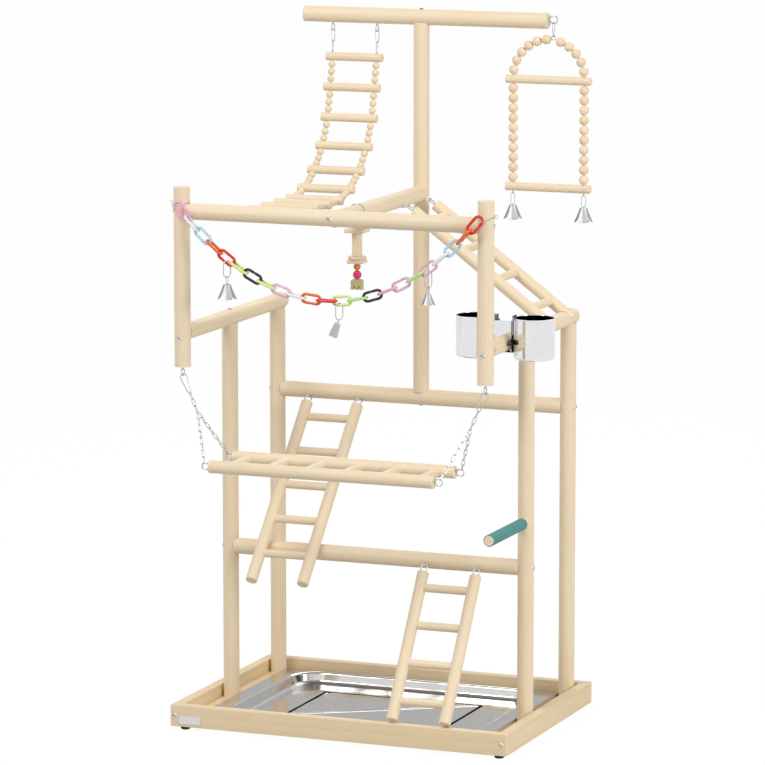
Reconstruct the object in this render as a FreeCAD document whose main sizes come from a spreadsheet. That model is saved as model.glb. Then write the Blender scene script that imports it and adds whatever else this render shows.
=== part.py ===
import FreeCAD, Part
import math
import os
import Sketcher
from FreeCAD import Placement, Rotation, Vector

# A free-standing perch stand for parrots: a tray in a wooden base, four posts with
# bars, a mast with a crossbar, and the toys, ladders and cups that hang on them.
# X runs to the right, Y to the back and Z up, in millimetres.  Heights are above the floor.

os.makedirs("parts", exist_ok=True)
doc = FreeCAD.newDocument("play_stand")
sheet = doc.addObject("Spreadsheet::Sheet", "sizes")

# ---------------------------------------------------------------- driving dimensions
SIZES = [
    ("running_gap", 0.3, "gap between two pieces that move on each other"),
    ("dowel", 28, "diameter of posts, rails and bars"),
    ("saddle", 4, "how deep a dowel's end is coped over the next dowel"),
    ("end_round", 1.2, "rounding of a dowel's ends"),
    # base
    ("base_width", 620, "outside width of the base"),
    ("base_depth", 440, "outside depth of the base"),
    ("rail_height", 38, "height of the base rails"),
    ("rail_thickness", 18, "thickness of the base rails"),
    ("rail_round", 1.5, "rounding of the base rails' edges"),
    ("foot_height", 8, "height of a foot"),
    ("foot_diameter", 17, "diameter of a foot"),
    ("foot_inset", 20, "foot's centre from the outer faces"),
    ("ledge_width", 44, "width of the ledges inside the side rails"),
    ("ledge_height", 16, "height of the ledges"),
    ("plate_length", 40, "name plate's length"),
    ("plate_height", 14.4, "name plate's height"),
    ("plate_thickness", 0.8, "name plate's thickness"),
    ("plate_inset", 16.7, "name plate's left edge from the base's left face"),
    ("plate_lift", 5.3, "name plate's lower edge above the rail's lower edge"),
    # posts and bars
    ("post_gap", 2.5, "gap between a post and the side rail"),
    ("back_post_inset", 38, "back posts' axes from the base's back face"),
    ("post_spacing", 214, "from the back posts to the front posts"),
    ("bar_height", 701, "height of the top bars' axes"),
    ("bar_overhang", 20, "top bars' length behind the back posts"),
    ("front_reach", 202, "upper posts' axes in front of the front posts"),
    ("upper_post_bottom", 643, "height of the upper posts' lower ends"),
    ("upper_post_length", 309, "length of the upper posts"),
    ("beam_height", 910, "height of the front beam's axis"),
    ("centre_bar_drop", 3, "centre bar's axis below the beam's"),
    ("back_rail_height", 543.7, "height of the upper back rail's axis"),
    ("low_rail_height", 295.5, "height of the low front rail's axis"),
    ("crossbar_height", 1216.8, "height of the crossbar's axis"),
    ("crossbar_left", 220, "crossbar's length left of the mast's axis"),
    ("crossbar_right", 235, "crossbar's length right of the mast's axis"),
    # grit perch
    ("perch_height", 375.3, "height of the grit perch's axis"),
    ("perch_core", 17, "diameter of the perch's wooden core"),
    ("perch_sleeve", 20.7, "outer diameter of the grit sleeve"),
    ("perch_length", 171, "perch's length in front of its post"),
    ("perch_bare_end", 2, "bare wood at the perch's tip"),
    ("perch_bare_root", 6, "bare wood beside the post"),
    # fasteners and wire
    ("screw_head", 8.5, "diameter of a screw's head"),
    ("screw_rise", 2.2, "height of a screw's head"),
    ("screw_shank", 4, "diameter of a screw's shank"),
    ("screw_depth", 36, "length of a screw's shank"),
    ("pilot_gap", 0.1, "pilot hole's clearance round a shank"),
    ("cross_width", 1.2, "width of the cross recess"),
    ("cross_depth", 1.2, "depth of the cross recess"),
    ("eye_wire", 2.2, "wire of screw eyes and hooks"),
    ("eye_ring", 15, "outer diameter of an eye's ring"),
    ("eye_depth", 14, "length of an eye's shank in the wood"),
    ("eye_neck", 0.5, "bare shank between an eye's ring and the wood"),
    ("long_neck", 2.5, "bare shank of the platform's hanging eyes"),
    ("end_neck", 1.5, "bare shank of the eyes in the platform's rails"),
    ("swing_neck", 2, "bare shank of the swing's eye"),
    # tray
    ("tray_side_gap", 0.5, "tray's flange from the posts' inner sides"),
    ("tray_depth", 376, "depth of the tray over its flange"),
    ("tray_metal", 1, "thickness of the tray's metal"),
    ("tray_lip", 7, "height of the flange's turned-down lip"),
    ("flange_side", 31, "width of the flange at the sides"),
    ("flange_end", 11, "width of the flange at front and back"),
    ("basin_depth", 19, "depth of the basin below the flange"),
    ("basin_draft", 8, "how far the basin's wall leans in"),
    ("basin_corner", 50, "corner radius of the basin's rim"),
    ("panel_width", 336, "width of the raised panel"),
    ("panel_depth", 236, "depth of the raised panel"),
    ("panel_rise", 1.5, "height of the raised panel"),
    ("panel_corner", 8, "corner radius of the raised panel"),
    # cups
    ("cup_diameter", 70, "outer diameter of a cup"),
    ("cup_height", 70.5, "height of a cup"),
    ("cup_metal", 1, "thickness of a cup's metal"),
    ("cup_rim", 746, "height of the cups' rims"),
    ("cup_offset", 51.5, "cups' axes beside the bar's axis"),
    ("cup_back", 107, "cups' axes in front of the front posts' axes"),
    ("hanger_width", 20, "width of the hanger plates"),
    ("hanger_metal", 1.1, "thickness of the hanger plates"),
    ("weld_depth", 0.4, "how deep a hanger plate is pressed into the cup's wall"),
    ("hanger_low", 30, "hanger's lower edge under the cup's rim"),
    ("hanger_top", 3, "hanger's upper edge above the cup's rim"),
    ("bracket_top", 25, "bracket's top above the bar's surface"),
    ("bracket_metal", 1, "thickness of the clamp bracket"),
    ("bracket_length", 24, "length of the clamp bracket along the bar"),
    ("strap_metal", 1.2, "thickness of the strap under the bar"),
    ("bolt_diameter", 4, "diameter of the clamp's bolt"),
    ("knob_width", 15, "width of the clamp's wing knob"),
    ("knob_height", 12, "height of the clamp's wing knob"),
    ("knob_thickness", 6.5, "thickness of the clamp's wing knob"),
    ("knob_reach", 28, "knob's axis in front of the cups' axes"),
    ("knob_rise", 3.5, "knob's axis above the bar's axis"),
    ("hook_drop", 4, "how far a cup's hook reaches down inside the bracket"),
    # wooden ladders
    ("ladder_rail", 20.5, "diameter of the ladders' rails"),
    ("ladder_rung", 14.4, "diameter of the ladders' rungs"),
    ("rung_socket", 6, "depth of a rung's socket in a rail"),
    ("ladder_width", 96.3, "distance between the ladders' rails"),
    ("hook_reach", 9, "ladder hooks' curl in front of their rail"),
    ("ladder_a_left", -205, "left rail of the upper ladder"),
    ("ladder_a_length", 376, "length of the upper ladder's rails"),
    ("ladder_a_hook", -6.5, "upper ladder's pivot against its rail's axis height"),
    ("ladder_a_first_rung", 30, "first rung from the rails' tops"),
    ("ladder_a_pitch", 72, "spacing of the upper ladder's rungs"),
    ("ladder_b_left", 98.9, "left rail of the lower ladder"),
    ("ladder_b_length", 272, "length of the lower ladder's rails"),
    ("ladder_b_hook", -3.5, "lower ladder's pivot against its rail's axis height"),
    ("ladder_b_first_rung", 28, "first rung from the rails' tops"),
    ("ladder_b_pitch", 69.6, "spacing of the lower ladder's rungs"),
    ("ladder_c_back", 162.5, "back rail of the side ladder"),
    ("ladder_c_width", 104.5, "distance between the side ladder's rails"),
    ("ladder_c_hook_x", 23, "side ladder's pivot right of the centre bar's axis"),
    ("ladder_c_hook_z", -8, "side ladder's pivot against the centre bar's axis height"),
    ("ladder_c_first_rung", 30, "first rung from the rails' tops"),
    ("ladder_c_rungs", 4, "number of the side ladder's rungs"),
    ("ladder_c_end", 49.4, "last rung from the rails' lower ends"),
    ("ladder_c_overlap", 10, "how far the rails run past the top bar's axis"),
    # hanging platform
    ("platform_rail", 22, "diameter of the platform's rails"),
    ("platform_rung", 14.5, "diameter of the platform's rungs"),
    ("platform_length", 407, "length of the platform's rails"),
    ("platform_width", 102, "distance between the platform's rails"),
    ("platform_drop", 151, "platform's axis under its hanging eyes"),
    ("platform_pitch", 68.7, "spacing of the platform's rungs"),
    ("small_ring", 14.5, "outer diameter of the platform's eyes"),
    ("snap_length", 37, "length of a snap hook"),
    ("snap_width", 14, "width of a snap hook at its wide end"),
    ("snap_narrow", 8, "width of a snap hook at its narrow end"),
    ("snap_wire", 1.8, "wire of the snap hooks"),
    ("chain_length", 15.3, "outer length of a chain link"),
    ("chain_width", 6.4, "outer width of a chain link"),
    ("chain_wire", 1.5, "wire of the chain"),
    ("chain_top_links", 3, "links above the chain's fork"),
    # beaded arch swing
    ("swing_ring", 16, "outer diameter of the swing's eye"),
    ("swing_width", 130.5, "distance between the swing's bead columns"),
    ("swing_perch", 15, "diameter of the swing's perches"),
    ("swing_perch_length", 155.7, "length of the swing's perches"),
    ("end_eye_rise", 2.5, "swing's eye above the crossbar's axis"),
    ("arch_rise", 4.9, "arch's centre above the upper perch's axis"),
    ("swing_loop", 6, "inner width of the loop in the swing's wire"),
    ("swing_bead", 17, "diameter of the swing's beads"),
    ("swing_bead_gap", 0.25, "gap between two beads"),
    ("swing_beads", 10, "beads in each column"),
    ("arch_left_beads", 6, "beads of the arch left of its loop"),
    ("arch_right_beads", 5, "beads of the arch right of its loop"),
    ("bead_wire", 1.6, "wire through the beads"),
    ("swing_snap_length", 27, "length of the swing's snap hook"),
    # bells
    ("bell_mouth", 34, "width of a bell's mouth"),
    ("bell_top", 13, "width of a bell's crown"),
    ("bell_height", 28, "height of a bell"),
    ("bell_metal", 1, "thickness of a bell's metal"),
    ("bell_slit", 3.5, "width of the slits between a bell's petals"),
    ("bell_wire", 1.3, "wire of a bell's loop"),
    ("swing_bell_loop", 15, "height of the loop over a swing bell"),
    ("loop_width", 7, "width of the loop over a swing bell"),
    ("clapper", 7, "diameter of a clapper"),
    ("split_ring_length", 30, "height of the toy's ring on the garland"),
    ("split_ring_width", 17, "width of the toy's ring on the garland"),
    ("small_bell_share", 0.72, "small bell's size against the large one's"),
    ("cowbell_width", 14, "width of the flat bell"),
    ("cowbell_height", 29, "height of the flat bell"),
    ("cowbell_thickness", 8, "thickness of the flat bell"),
    ("cowbell_tilt", 22, "lean of the flat bell in degrees"),
    ("bell_neck", 3, "stem between a bell's loop and its crown"),
    ("clapper_rod", 1.4, "diameter of a clapper's rod"),
    ("staple_radius", 2.2, "radius of the staples that carry the swing bells"),
    ("ring_turn", 60, "turn of the toys' rings from the garland's plane in degrees"),
    ("petal_turn", 45, "turn of the garland bells' petals in degrees"),
    ("short_loop_length", 7, "height of the loop over a garland bell"),
    ("short_loop_width", 5, "width of the loop over a garland bell"),
    # garland
    ("garland_links", 23, "number of links"),
    ("garland_length", 38.4, "outer length of a link"),
    ("garland_width", 19.4, "outer width of a link"),
    ("garland_wire", 5, "thickness of a link"),
    ("garland_height", 924, "height of the garland's ends"),
    ("garland_inset", 1.5, "garland's ends inside the upper posts' axes"),
    ("garland_offset", 24.5, "garland's plane in front of the upper posts' axes"),
    ("tie_wire", 1.2, "wire of the garland's ties"),
    ("tie_loop", 7, "outer diameter of a tie's twisted end"),
    ("tie_play", 0.9, "room for the end links to turn in their ties"),
    # foraging toy
    ("toy_setback", 113, "toy's axis behind the upper posts' axes"),
    ("toy_wire", 1.6, "wire of the toy"),
    ("toy_drop", 13, "toy's top under the centre bar's surface"),
    ("toy_eye", 3, "inner width of the toy's wire at the top plate"),
    ("toy_plate", 35, "width of the toy's top plate"),
    ("toy_plate_height", 7, "thickness of the toy's top plate"),
    ("toy_spool", 18, "diameter of the toy's spool"),
    ("toy_spool_height", 41, "height of the toy's spool"),
    ("toy_ring", 32, "diameter of the toy's wooden ring"),
    ("toy_ring_height", 5, "thickness of the toy's wooden ring"),
    ("toy_low_plate", 27.5, "width of the toy's lower plate"),
    ("toy_low_plate_height", 7, "thickness of the toy's lower plate"),
    ("toy_small_bead", 12.2, "diameter of the orange bead"),
    ("toy_large_bead", 15, "diameter of the pink bead"),
    ("toy_block_width", 21, "width of the arched block"),
    ("toy_block_height", 18.3, "height of the arched block"),
    ("toy_block_thickness", 9, "thickness of the arched block"),
    # bead ladder
    ("bead_ladder_left", -167, "left bead string"),
    ("bead_ladder_width", 83.5, "distance between the bead strings"),
    ("bead_rung", 15, "diameter of the bead ladder's rungs"),
    ("bead_rung_length", 105, "length of the bead ladder's rungs"),
    ("bead", 12.7, "diameter of the bead ladder's beads"),
    ("string_rungs", 10, "number of the bead ladder's rungs"),
    ("string_gap", 0.2, "gap between a bead and what it touches"),
    ("string_top_fall", 45.6, "first rung under the top eyes' wire"),
    ("string_slope", 77.5, "slope of the bead ladder's upper run in degrees"),
    ("string_bend", 193, "radius of the bead ladder's bend"),
    ("string_low_height", 909.4, "height of the bead ladder's flat run"),
    ("string_snap_length", 23, "length of the bead ladder's snap hooks"),
    ("string_snap_width", 9, "width of the bead ladder's snap hooks"),
    ("string_link_width", 6, "width of the long link"),
    ("open_pivot_play", 0.6, "extra play of the lower snap hooks in their eyes"),
    ("string_wire", 1.6, "wire of the bead ladder's hooks and links"),
]
for row, (alias, number, meaning) in enumerate(SIZES, start=1):
    sheet.set(f"A{row}", meaning)
    sheet.set(f"B{row}", str(number))
    sheet.setAlias(f"B{row}", alias)
doc.recompute()


def size(alias):
    """The number that a cell holds."""
    return float(sheet.get(alias))


def count(alias):
    """A whole number that a cell holds."""
    return int(round(size(alias)))


# ---------------------------------------------------------------- places worked out from the sizes
GAP = size("running_gap")
DOWEL = size("dowel")
POST_X = size("base_width") / 2 - size("rail_thickness") - size("post_gap") - DOWEL / 2
BACK_Y = size("base_depth") / 2 - size("back_post_inset")
FRONT_Y = BACK_Y - size("post_spacing")
UPPER_Y = FRONT_Y - size("front_reach")
BASE_TOP = size("foot_height") + size("rail_height")
LEDGE_TOP = size("foot_height") + size("ledge_height")
CENTRE_BAR_Z = size("beam_height") - size("centre_bar_drop")
CUP_Y = FRONT_Y - size("cup_back")
CUP_X = size("cup_offset")
EYE_R = (size("eye_ring") - size("eye_wire")) / 2

# The frame's origin lies under the middle of the whole object's box.
RIGHT_END = POST_X + CUP_X + size("cup_diameter") / 2
LEFT_END = -size("base_width") / 2
BACK_END = size("base_depth") / 2 + size("screw_rise")
FRONT_END = UPPER_Y - size("platform_width") / 2 - size("platform_rail") / 2
ORIGIN = Vector((RIGHT_END + LEFT_END) / 2, (BACK_END + FRONT_END) / 2, 0)

X_AXIS, Y_AXIS, Z_AXIS = Vector(1, 0, 0), Vector(0, 1, 0), Vector(0, 0, 1)
SIDES = (("left", -1), ("right", 1))
NODES = {}


def at(across, depth, height):
    """A point given from the base's middle on the floor."""
    return Vector(across, depth, height) - ORIGIN


def turned(direction, about=Z_AXIS):
    """The rotation that takes one axis to a direction."""
    return Rotation(about, direction)


def unit(vector):
    """The same direction with a length of one."""
    return Vector(vector) / vector.Length


# ---------------------------------------------------------------- basic pieces
def rod(name, diameter, start, end):
    """A round rod between two points; diameter is an alias."""
    piece = doc.addObject("Part::Cylinder", name)
    piece.setExpression("Radius", f"sizes.{diameter} / 2")
    piece.Height = (end - start).Length
    piece.Placement = Placement(start, turned(end - start))
    return piece


def rounded_rod(name, diameter, start, end, rounding="end_round"):
    """A round rod whose two ends are eased."""
    bare = rod(name + "_bare", diameter, start, end)
    return eased(name, bare, (1, 3), size(rounding))


def eased(name, piece, edges, radius):
    """A piece with some of its edges rounded."""
    result = doc.addObject("Part::Fillet", name)
    result.Base = piece
    result.Edges = [(edge, radius, radius) for edge in edges]
    return result


def block(name, length, width, height, corner):
    """A box; its three sizes are expressions on the sheet."""
    piece = doc.addObject("Part::Box", name)
    piece.setExpression("Length", length)
    piece.setExpression("Width", width)
    piece.setExpression("Height", height)
    piece.Placement = Placement(corner, Rotation())
    return piece


def ball(name, diameter, centre, facing=Vector(1, 0, 0)):
    """A ball with its seam on one side and its poles on the Y axis; diameter is an alias."""
    piece = doc.addObject("Part::Sphere", name)
    piece.setExpression("Radius", f"sizes.{diameter} / 2")
    piece.Placement = Placement(centre, Rotation(facing, Y_AXIS.cross(facing), Y_AXIS, "ZXY"))
    return piece


def ring(name, outer, wire, centre, normal):
    """A ring of round wire; outer diameter and wire are aliases."""
    piece = doc.addObject("Part::Torus", name)
    piece.setExpression("Radius1", f"(sizes.{outer} - sizes.{wire}) / 2")
    piece.setExpression("Radius2", f"sizes.{wire} / 2")
    piece.Placement = Placement(centre, turned(normal))
    return piece


def joined(name, pieces):
    """Pieces made as one."""
    result = doc.addObject("Part::MultiFuse", name)
    result.Shapes = pieces
    result.Refine = True
    return result


def grouped(name, pieces):
    """Separate solids kept together."""
    result = doc.addObject("Part::Compound", name)
    result.Links = pieces
    return result


def cut(name, piece, tools):
    """A piece with one or more others taken out of it."""
    result = doc.addObject("Part::Cut", name)
    result.Base = piece
    result.Tool = tools[0] if len(tools) == 1 else grouped(name + "_tools", tools)
    return result


def shaped(name, shape, place=None):
    """A piece whose shape is set from curves."""
    piece = doc.addObject("Part::Feature", name)
    piece.Shape = shape
    piece.Placement = place or Placement()
    return piece


def node(label, piece):
    """Marks a piece as one of the stand's sub-parts."""
    piece.Label = label
    NODES[label] = piece
    return piece


# ---------------------------------------------------------------- wire forms
def swept(edges, wire):
    """Round wire along lines and arcs that meet without a kink."""
    path = Part.Wire(edges)
    first = edges[0]
    start = first.valueAt(first.FirstParameter)
    heading = first.tangentAt(first.FirstParameter)
    section = Part.Wire(Part.makeCircle(wire / 2, start, heading))
    return path.makePipeShell([section], True, False)


def straight(start, end):
    return Part.LineSegment(start, end).toShape()


def bend(start, middle, end):
    return Part.Arc(start, middle, end).toShape()


def half_ring(radius, wire, centre, swing_from):
    """Half a ring in the XY plane, starting at an angle in degrees."""
    section = Part.Face(Part.Wire(Part.makeCircle(wire / 2, Vector(radius, 0, 0), Y_AXIS)))
    half = section.revolve(Vector(0, 0, 0), Z_AXIS, 180)
    half.Placement = Placement(centre, Rotation(Z_AXIS, swing_from))
    return half


def link_shape(length, width, wire):
    """One oval link, long along X, lying in the XY plane."""
    radius = (width - wire) / 2
    run = length - width
    right = half_ring(radius, wire, Vector(run / 2, 0, 0), -90)
    left = half_ring(radius, wire, Vector(-run / 2, 0, 0), 90)
    far = Part.makeCylinder(wire / 2, run, Vector(-run / 2, radius, 0), X_AXIS)
    near = Part.makeCylinder(wire / 2, run, Vector(-run / 2, -radius, 0), X_AXIS)
    return right.fuse([left, far, near]).removeSplitter()


def pear_shape(length, wide, narrow, wire):
    """A snap hook's closed loop in the XY plane, wide end at +X, centred on X = 0."""
    big = (wide - wire) / 2
    small = (narrow - wire) / 2
    reach = length / 2 - wire / 2
    centre_big = reach - big
    centre_small = -reach + small
    slope = math.asin((big - small) / (centre_big - centre_small))
    lean = Vector(-math.sin(slope), math.cos(slope), 0)
    top_big = Vector(centre_big, 0, 0) + lean * big
    top_small = Vector(centre_small, 0, 0) + lean * small
    low_big = Vector(top_big.x, -top_big.y, 0)
    low_small = Vector(top_small.x, -top_small.y, 0)
    nose = bend(Vector(reach, 0, 0), Vector(centre_big + big * math.cos(0.8), big * math.sin(0.8), 0), top_big)
    upper = [nose, straight(top_big, top_small),
             bend(top_small, Vector(centre_small - small * math.cos(0.7), small * math.sin(0.7), 0),
                  Vector(-reach, 0, 0))]
    tail = bend(Vector(-reach, 0, 0), Vector(centre_small - small * math.cos(0.7), -small * math.sin(0.7), 0),
                low_small)
    lower = [tail, straight(low_small, low_big),
             bend(low_big, Vector(centre_big + big * math.cos(0.8), -big * math.sin(0.8), 0), Vector(reach, 0, 0))]
    return swept(upper, wire).fuse(swept(lower, wire)).removeSplitter()


def teardrop(big_centre, big_r, small_centre, small_r, axis, wire):
    """A closed wire round two circles of different size; axis is square to both."""
    across = small_centre - big_centre
    heading = unit(across)
    tilt = math.degrees(math.acos((big_r - small_r) / across.Length))
    ends = []
    for turn in (1, -1):
        normal = Rotation(axis, turn * tilt).multVec(heading)
        ends.append((big_centre + normal * big_r, small_centre + normal * small_r))
    path = [bend(ends[0][0], big_centre - heading * big_r, ends[1][0]), straight(ends[1][0], ends[1][1]),
            bend(ends[1][1], small_centre + heading * small_r, ends[0][1])]
    return swept(path, wire).fuse(swept([straight(ends[0][1], ends[0][0])], wire)).removeSplitter()


def placed(shape, centre, along, normal):
    """A copy of a flat wire form with its X axis and its normal turned as given."""
    copy = shape.copy()
    side = normal.cross(along)
    copy.Placement = Placement(centre, Rotation(along, side, normal, "XYZ"))
    return copy


def chain_between(start, end, links, first_normal, shape):
    """Links from one contact point to the next along a straight line, each turned a quarter."""
    along = unit(end - start)
    step = (end - start) / links
    other = unit(along.cross(first_normal))
    face = unit(other.cross(along))
    shapes = []
    for number in range(links):
        normal = face if number % 2 == 0 else other
        shapes.append(placed(shape, start + step * (number + 0.5), along, normal))
    return shapes


# ---------------------------------------------------------------- fasteners
def screw(name, seat, inward):
    """A cross-head screw on a surface point, and the pilot hole it needs."""
    inward = unit(inward)
    head = size("screw_head") / 2
    rise = size("screw_rise")
    dome_radius = (head * head + rise * rise) / (2 * rise)
    dome = Part.makeSphere(dome_radius, Vector(0, 0, rise - dome_radius))
    keep = Part.makeCylinder(head, rise)
    cap = dome.common(keep)
    arm = head * 0.55
    width = size("cross_width")
    depth = size("cross_depth")
    recess = Part.makeBox(2 * arm, width, depth, Vector(-arm, -width / 2, rise - depth))
    recess = recess.fuse(Part.makeBox(width, 2 * arm, depth, Vector(-width / 2, -arm, rise - depth)))
    shank = Part.makeCylinder(size("screw_shank") / 2, size("screw_depth"), Vector(0, 0, 0), Vector(0, 0, -1))
    shape = cap.cut(recess).fuse(shank).removeSplitter()
    place = Placement(seat, turned(inward * -1))
    pilot = Part.makeCylinder(size("screw_shank") / 2 + size("pilot_gap"), size("screw_depth") + 1,
                              Vector(0, 0, 0), Vector(0, 0, -1))
    return shaped(name, shape, place), shaped(name + "_pilot", pilot, place)


def screw_eye(name, seat, outward, normal, outer="eye_ring", bare="eye_neck"):
    """A ring on a shank that is screwed into a surface point, and its pilot hole."""
    outward = unit(outward)
    wire = size("eye_wire")
    radius = (size(outer) - wire) / 2
    centre = seat + outward * (radius + wire / 2 + size(bare))
    loop = ring(name + "_ring", outer, "eye_wire", centre, normal)
    shank_top = centre - outward * radius
    shank = rod(name + "_shank", "eye_wire", seat - outward * size("eye_depth"), shank_top)
    pilot = Part.makeCylinder(wire / 2 + size("pilot_gap"), size("eye_depth") + wire, Vector(0, 0, -wire))
    hole = shaped(name + "_pilot", pilot, Placement(seat, turned(outward * -1)))
    return joined(name, [loop, shank]), hole, centre


def cup_hook(name, root, pivot, out, up, neck):
    """A hook whose shank runs out of the wood under a pivot and curls up round it."""
    wire = size("eye_wire")
    curl = wire + GAP
    low = pivot - up * curl
    start = low - out * neck
    edges = [straight(start, low),
             bend(low, pivot + out * curl, pivot + up * curl),
             straight(pivot + up * curl, pivot + up * curl - out * curl * 0.6)]
    pilot = Part.makeCylinder(wire / 2 + size("pilot_gap"), neck, start, out)
    return shaped(name, swept(edges, wire)), shaped(name + "_pilot", pilot)


# ---------------------------------------------------------------- base
RAIL_EDGES = range(1, 13)
base_left = -size("base_width") / 2
base_front = -size("base_depth") / 2
inner_depth = "sizes.base_depth - 2 * sizes.rail_thickness"
foot_top = size("foot_height")

front_seats = []
base_pilots = []
screws = []
for side, sign in SIDES:
    for face, depth_sign in (("front", -1), ("back", 1)):
        seat = at(sign * (size("base_width") / 2 - size("rail_thickness") / 2),
                  depth_sign * size("base_depth") / 2, size("foot_height") + size("rail_height") / 2)
        piece, pilot = screw(f"base_screw_{side}_{face}", seat, Vector(0, -depth_sign, 0))
        screws.append(piece)
        base_pilots.append(pilot)


def base_rail(label, length, width, corner):
    bare = block(label + "_bare", length, width, "sizes.rail_height", corner)
    doc.recompute()
    soft = eased(label + "_eased", bare, RAIL_EDGES, size("rail_round"))
    return node(label, cut(label + "_cut", soft, base_pilots))


front_rail = base_rail("base_front_rail", "sizes.base_width", "sizes.rail_thickness",
                       at(base_left, base_front, foot_top))
back_rail = base_rail("base_back_rail", "sizes.base_width", "sizes.rail_thickness",
                      at(base_left, -base_front - size("rail_thickness"), foot_top))
left_rail = base_rail("base_left_rail", "sizes.rail_thickness", inner_depth,
                      at(base_left, base_front + size("rail_thickness"), foot_top))
right_rail = base_rail("base_right_rail", "sizes.rail_thickness", inner_depth,
                       at(-base_left - size("rail_thickness"), base_front + size("rail_thickness"), foot_top))

ledge_x = -base_left - size("rail_thickness")
ledges = [block("ledge_left", "sizes.ledge_width", inner_depth, "sizes.ledge_height",
                at(-ledge_x, base_front + size("rail_thickness"), foot_top)),
          block("ledge_right", "sizes.ledge_width", inner_depth, "sizes.ledge_height",
                at(ledge_x - size("ledge_width"), base_front + size("rail_thickness"), foot_top))]
node("tray_ledges", grouped("ledges", ledges))

feet = []
for side, sign in SIDES:
    for face, depth_sign in (("front", -1), ("back", 1)):
        centre = at(sign * (size("base_width") / 2 - size("foot_inset")),
                    depth_sign * (size("base_depth") / 2 - size("foot_inset")), 0)
        feet.append(rod(f"foot_{side}_{face}", "foot_diameter", centre, centre + Vector(0, 0, foot_top)))
node("base_feet", grouped("feet", feet))

plate = block("plate", "sizes.plate_length", "sizes.plate_thickness", "sizes.plate_height",
              at(base_left + size("plate_inset"), base_front - size("plate_thickness"),
                 foot_top + size("plate_lift")))
node("name_plate", plate)

# ---------------------------------------------------------------- posts, rails, bars, mast
COPE = DOWEL / 2 - size("saddle")      # a coped end's plane from the next dowel's axis
bar_front = UPPER_Y + COPE
bar_back = BACK_Y + size("bar_overhang")
bar_z = size("bar_height")
beam_z = size("beam_height")
back_rail_z = size("back_rail_height")
low_rail_z = size("low_rail_height")
cross_z = size("crossbar_height")
upper_low = size("upper_post_bottom")

bars = {}
posts = {}
upper_posts = {}
for side, sign in SIDES:
    x = sign * POST_X
    bars[side] = rounded_rod(f"bar_{side}", "dowel", at(x, bar_front, bar_z), at(x, bar_back, bar_z))
    upper_posts[side] = rounded_rod(f"upper_{side}", "dowel", at(x, UPPER_Y, upper_low),
                                    at(x, UPPER_Y, upper_low + size("upper_post_length")))
    for place, y in (("front", FRONT_Y), ("back", BACK_Y)):
        posts[side, place] = rounded_rod(f"post_{side}_{place}", "dowel", at(x, y, LEDGE_TOP),
                                         at(x, y, bar_z - COPE))

beam_end = POST_X - COPE
front_beam = rounded_rod("beam", "dowel", at(-beam_end, UPPER_Y, beam_z), at(beam_end, UPPER_Y, beam_z))
upper_back_rail = rounded_rod("upper_rail", "dowel", at(-beam_end, BACK_Y, back_rail_z),
                              at(beam_end, BACK_Y, back_rail_z))
low_rail = rounded_rod("low_rail", "dowel", at(-beam_end, FRONT_Y, low_rail_z),
                       at(beam_end, FRONT_Y, low_rail_z))
mast = rounded_rod("mast_dowel", "dowel", at(0, BACK_Y, back_rail_z + COPE), at(0, BACK_Y, cross_z - COPE))
centre_bar = rounded_rod("centre_dowel", "dowel", at(0, UPPER_Y + COPE, CENTRE_BAR_Z),
                         at(0, BACK_Y - COPE, CENTRE_BAR_Z))
crossbar = rounded_rod("cross_dowel", "dowel", at(-size("crossbar_left"), BACK_Y, cross_z),
                       at(size("crossbar_right"), BACK_Y, cross_z))

# Screws through each joint, from the outer face of the dowel that is crossed.
frame_pilots = []


def frame_screw(name, seat, inward):
    piece, pilot = screw(name, seat, inward)
    screws.append(piece)
    frame_pilots.append(pilot)


surface = DOWEL / 2
for side, sign in SIDES:
    x = sign * POST_X
    outer = x + sign * surface
    inward = Vector(-sign, 0, 0)
    frame_screw(f"bar_screw_front_{side}", at(x, FRONT_Y, bar_z + surface), Vector(0, 0, -1))
    frame_screw(f"bar_screw_back_{side}", at(x, BACK_Y, bar_z + surface), Vector(0, 0, -1))
    frame_screw(f"upper_screw_{side}", at(x, UPPER_Y - surface, bar_z - surface / 2), Y_AXIS)
    frame_screw(f"beam_screw_{side}", at(outer, UPPER_Y, beam_z), inward)
    frame_screw(f"low_rail_screw_{side}", at(outer, FRONT_Y, low_rail_z), inward)
    frame_screw(f"upper_rail_screw_{side}", at(outer, BACK_Y, back_rail_z), inward)
frame_screw("centre_bar_screw", at(0, UPPER_Y - surface, beam_z), Y_AXIS)
frame_screw("centre_bar_back_screw", at(0, BACK_Y + surface, CENTRE_BAR_Z), Vector(0, -1, 0))
frame_screw("crossbar_screw", at(0, BACK_Y, cross_z + surface), Vector(0, 0, -1))
frame_screw("mast_screw", at(0, BACK_Y, back_rail_z - surface), Z_AXIS)
frame_screw("perch_screw", at(POST_X, FRONT_Y + surface, size("perch_height")), Vector(0, -1, 0))
node("screws", grouped("all_screws", screws))

# ---------------------------------------------------------------- eyes and hooks that are fixed in the wood
fixed_wires = []
wire_pilots = []
eye_points = {}


def fixed_eye(key, seat, outward, normal, outer="eye_ring", bare="eye_neck"):
    piece, pilot, centre = screw_eye(key, seat, outward, normal, outer, bare)
    fixed_wires.append(piece)
    wire_pilots.append(pilot)
    eye_points[key] = centre


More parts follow.
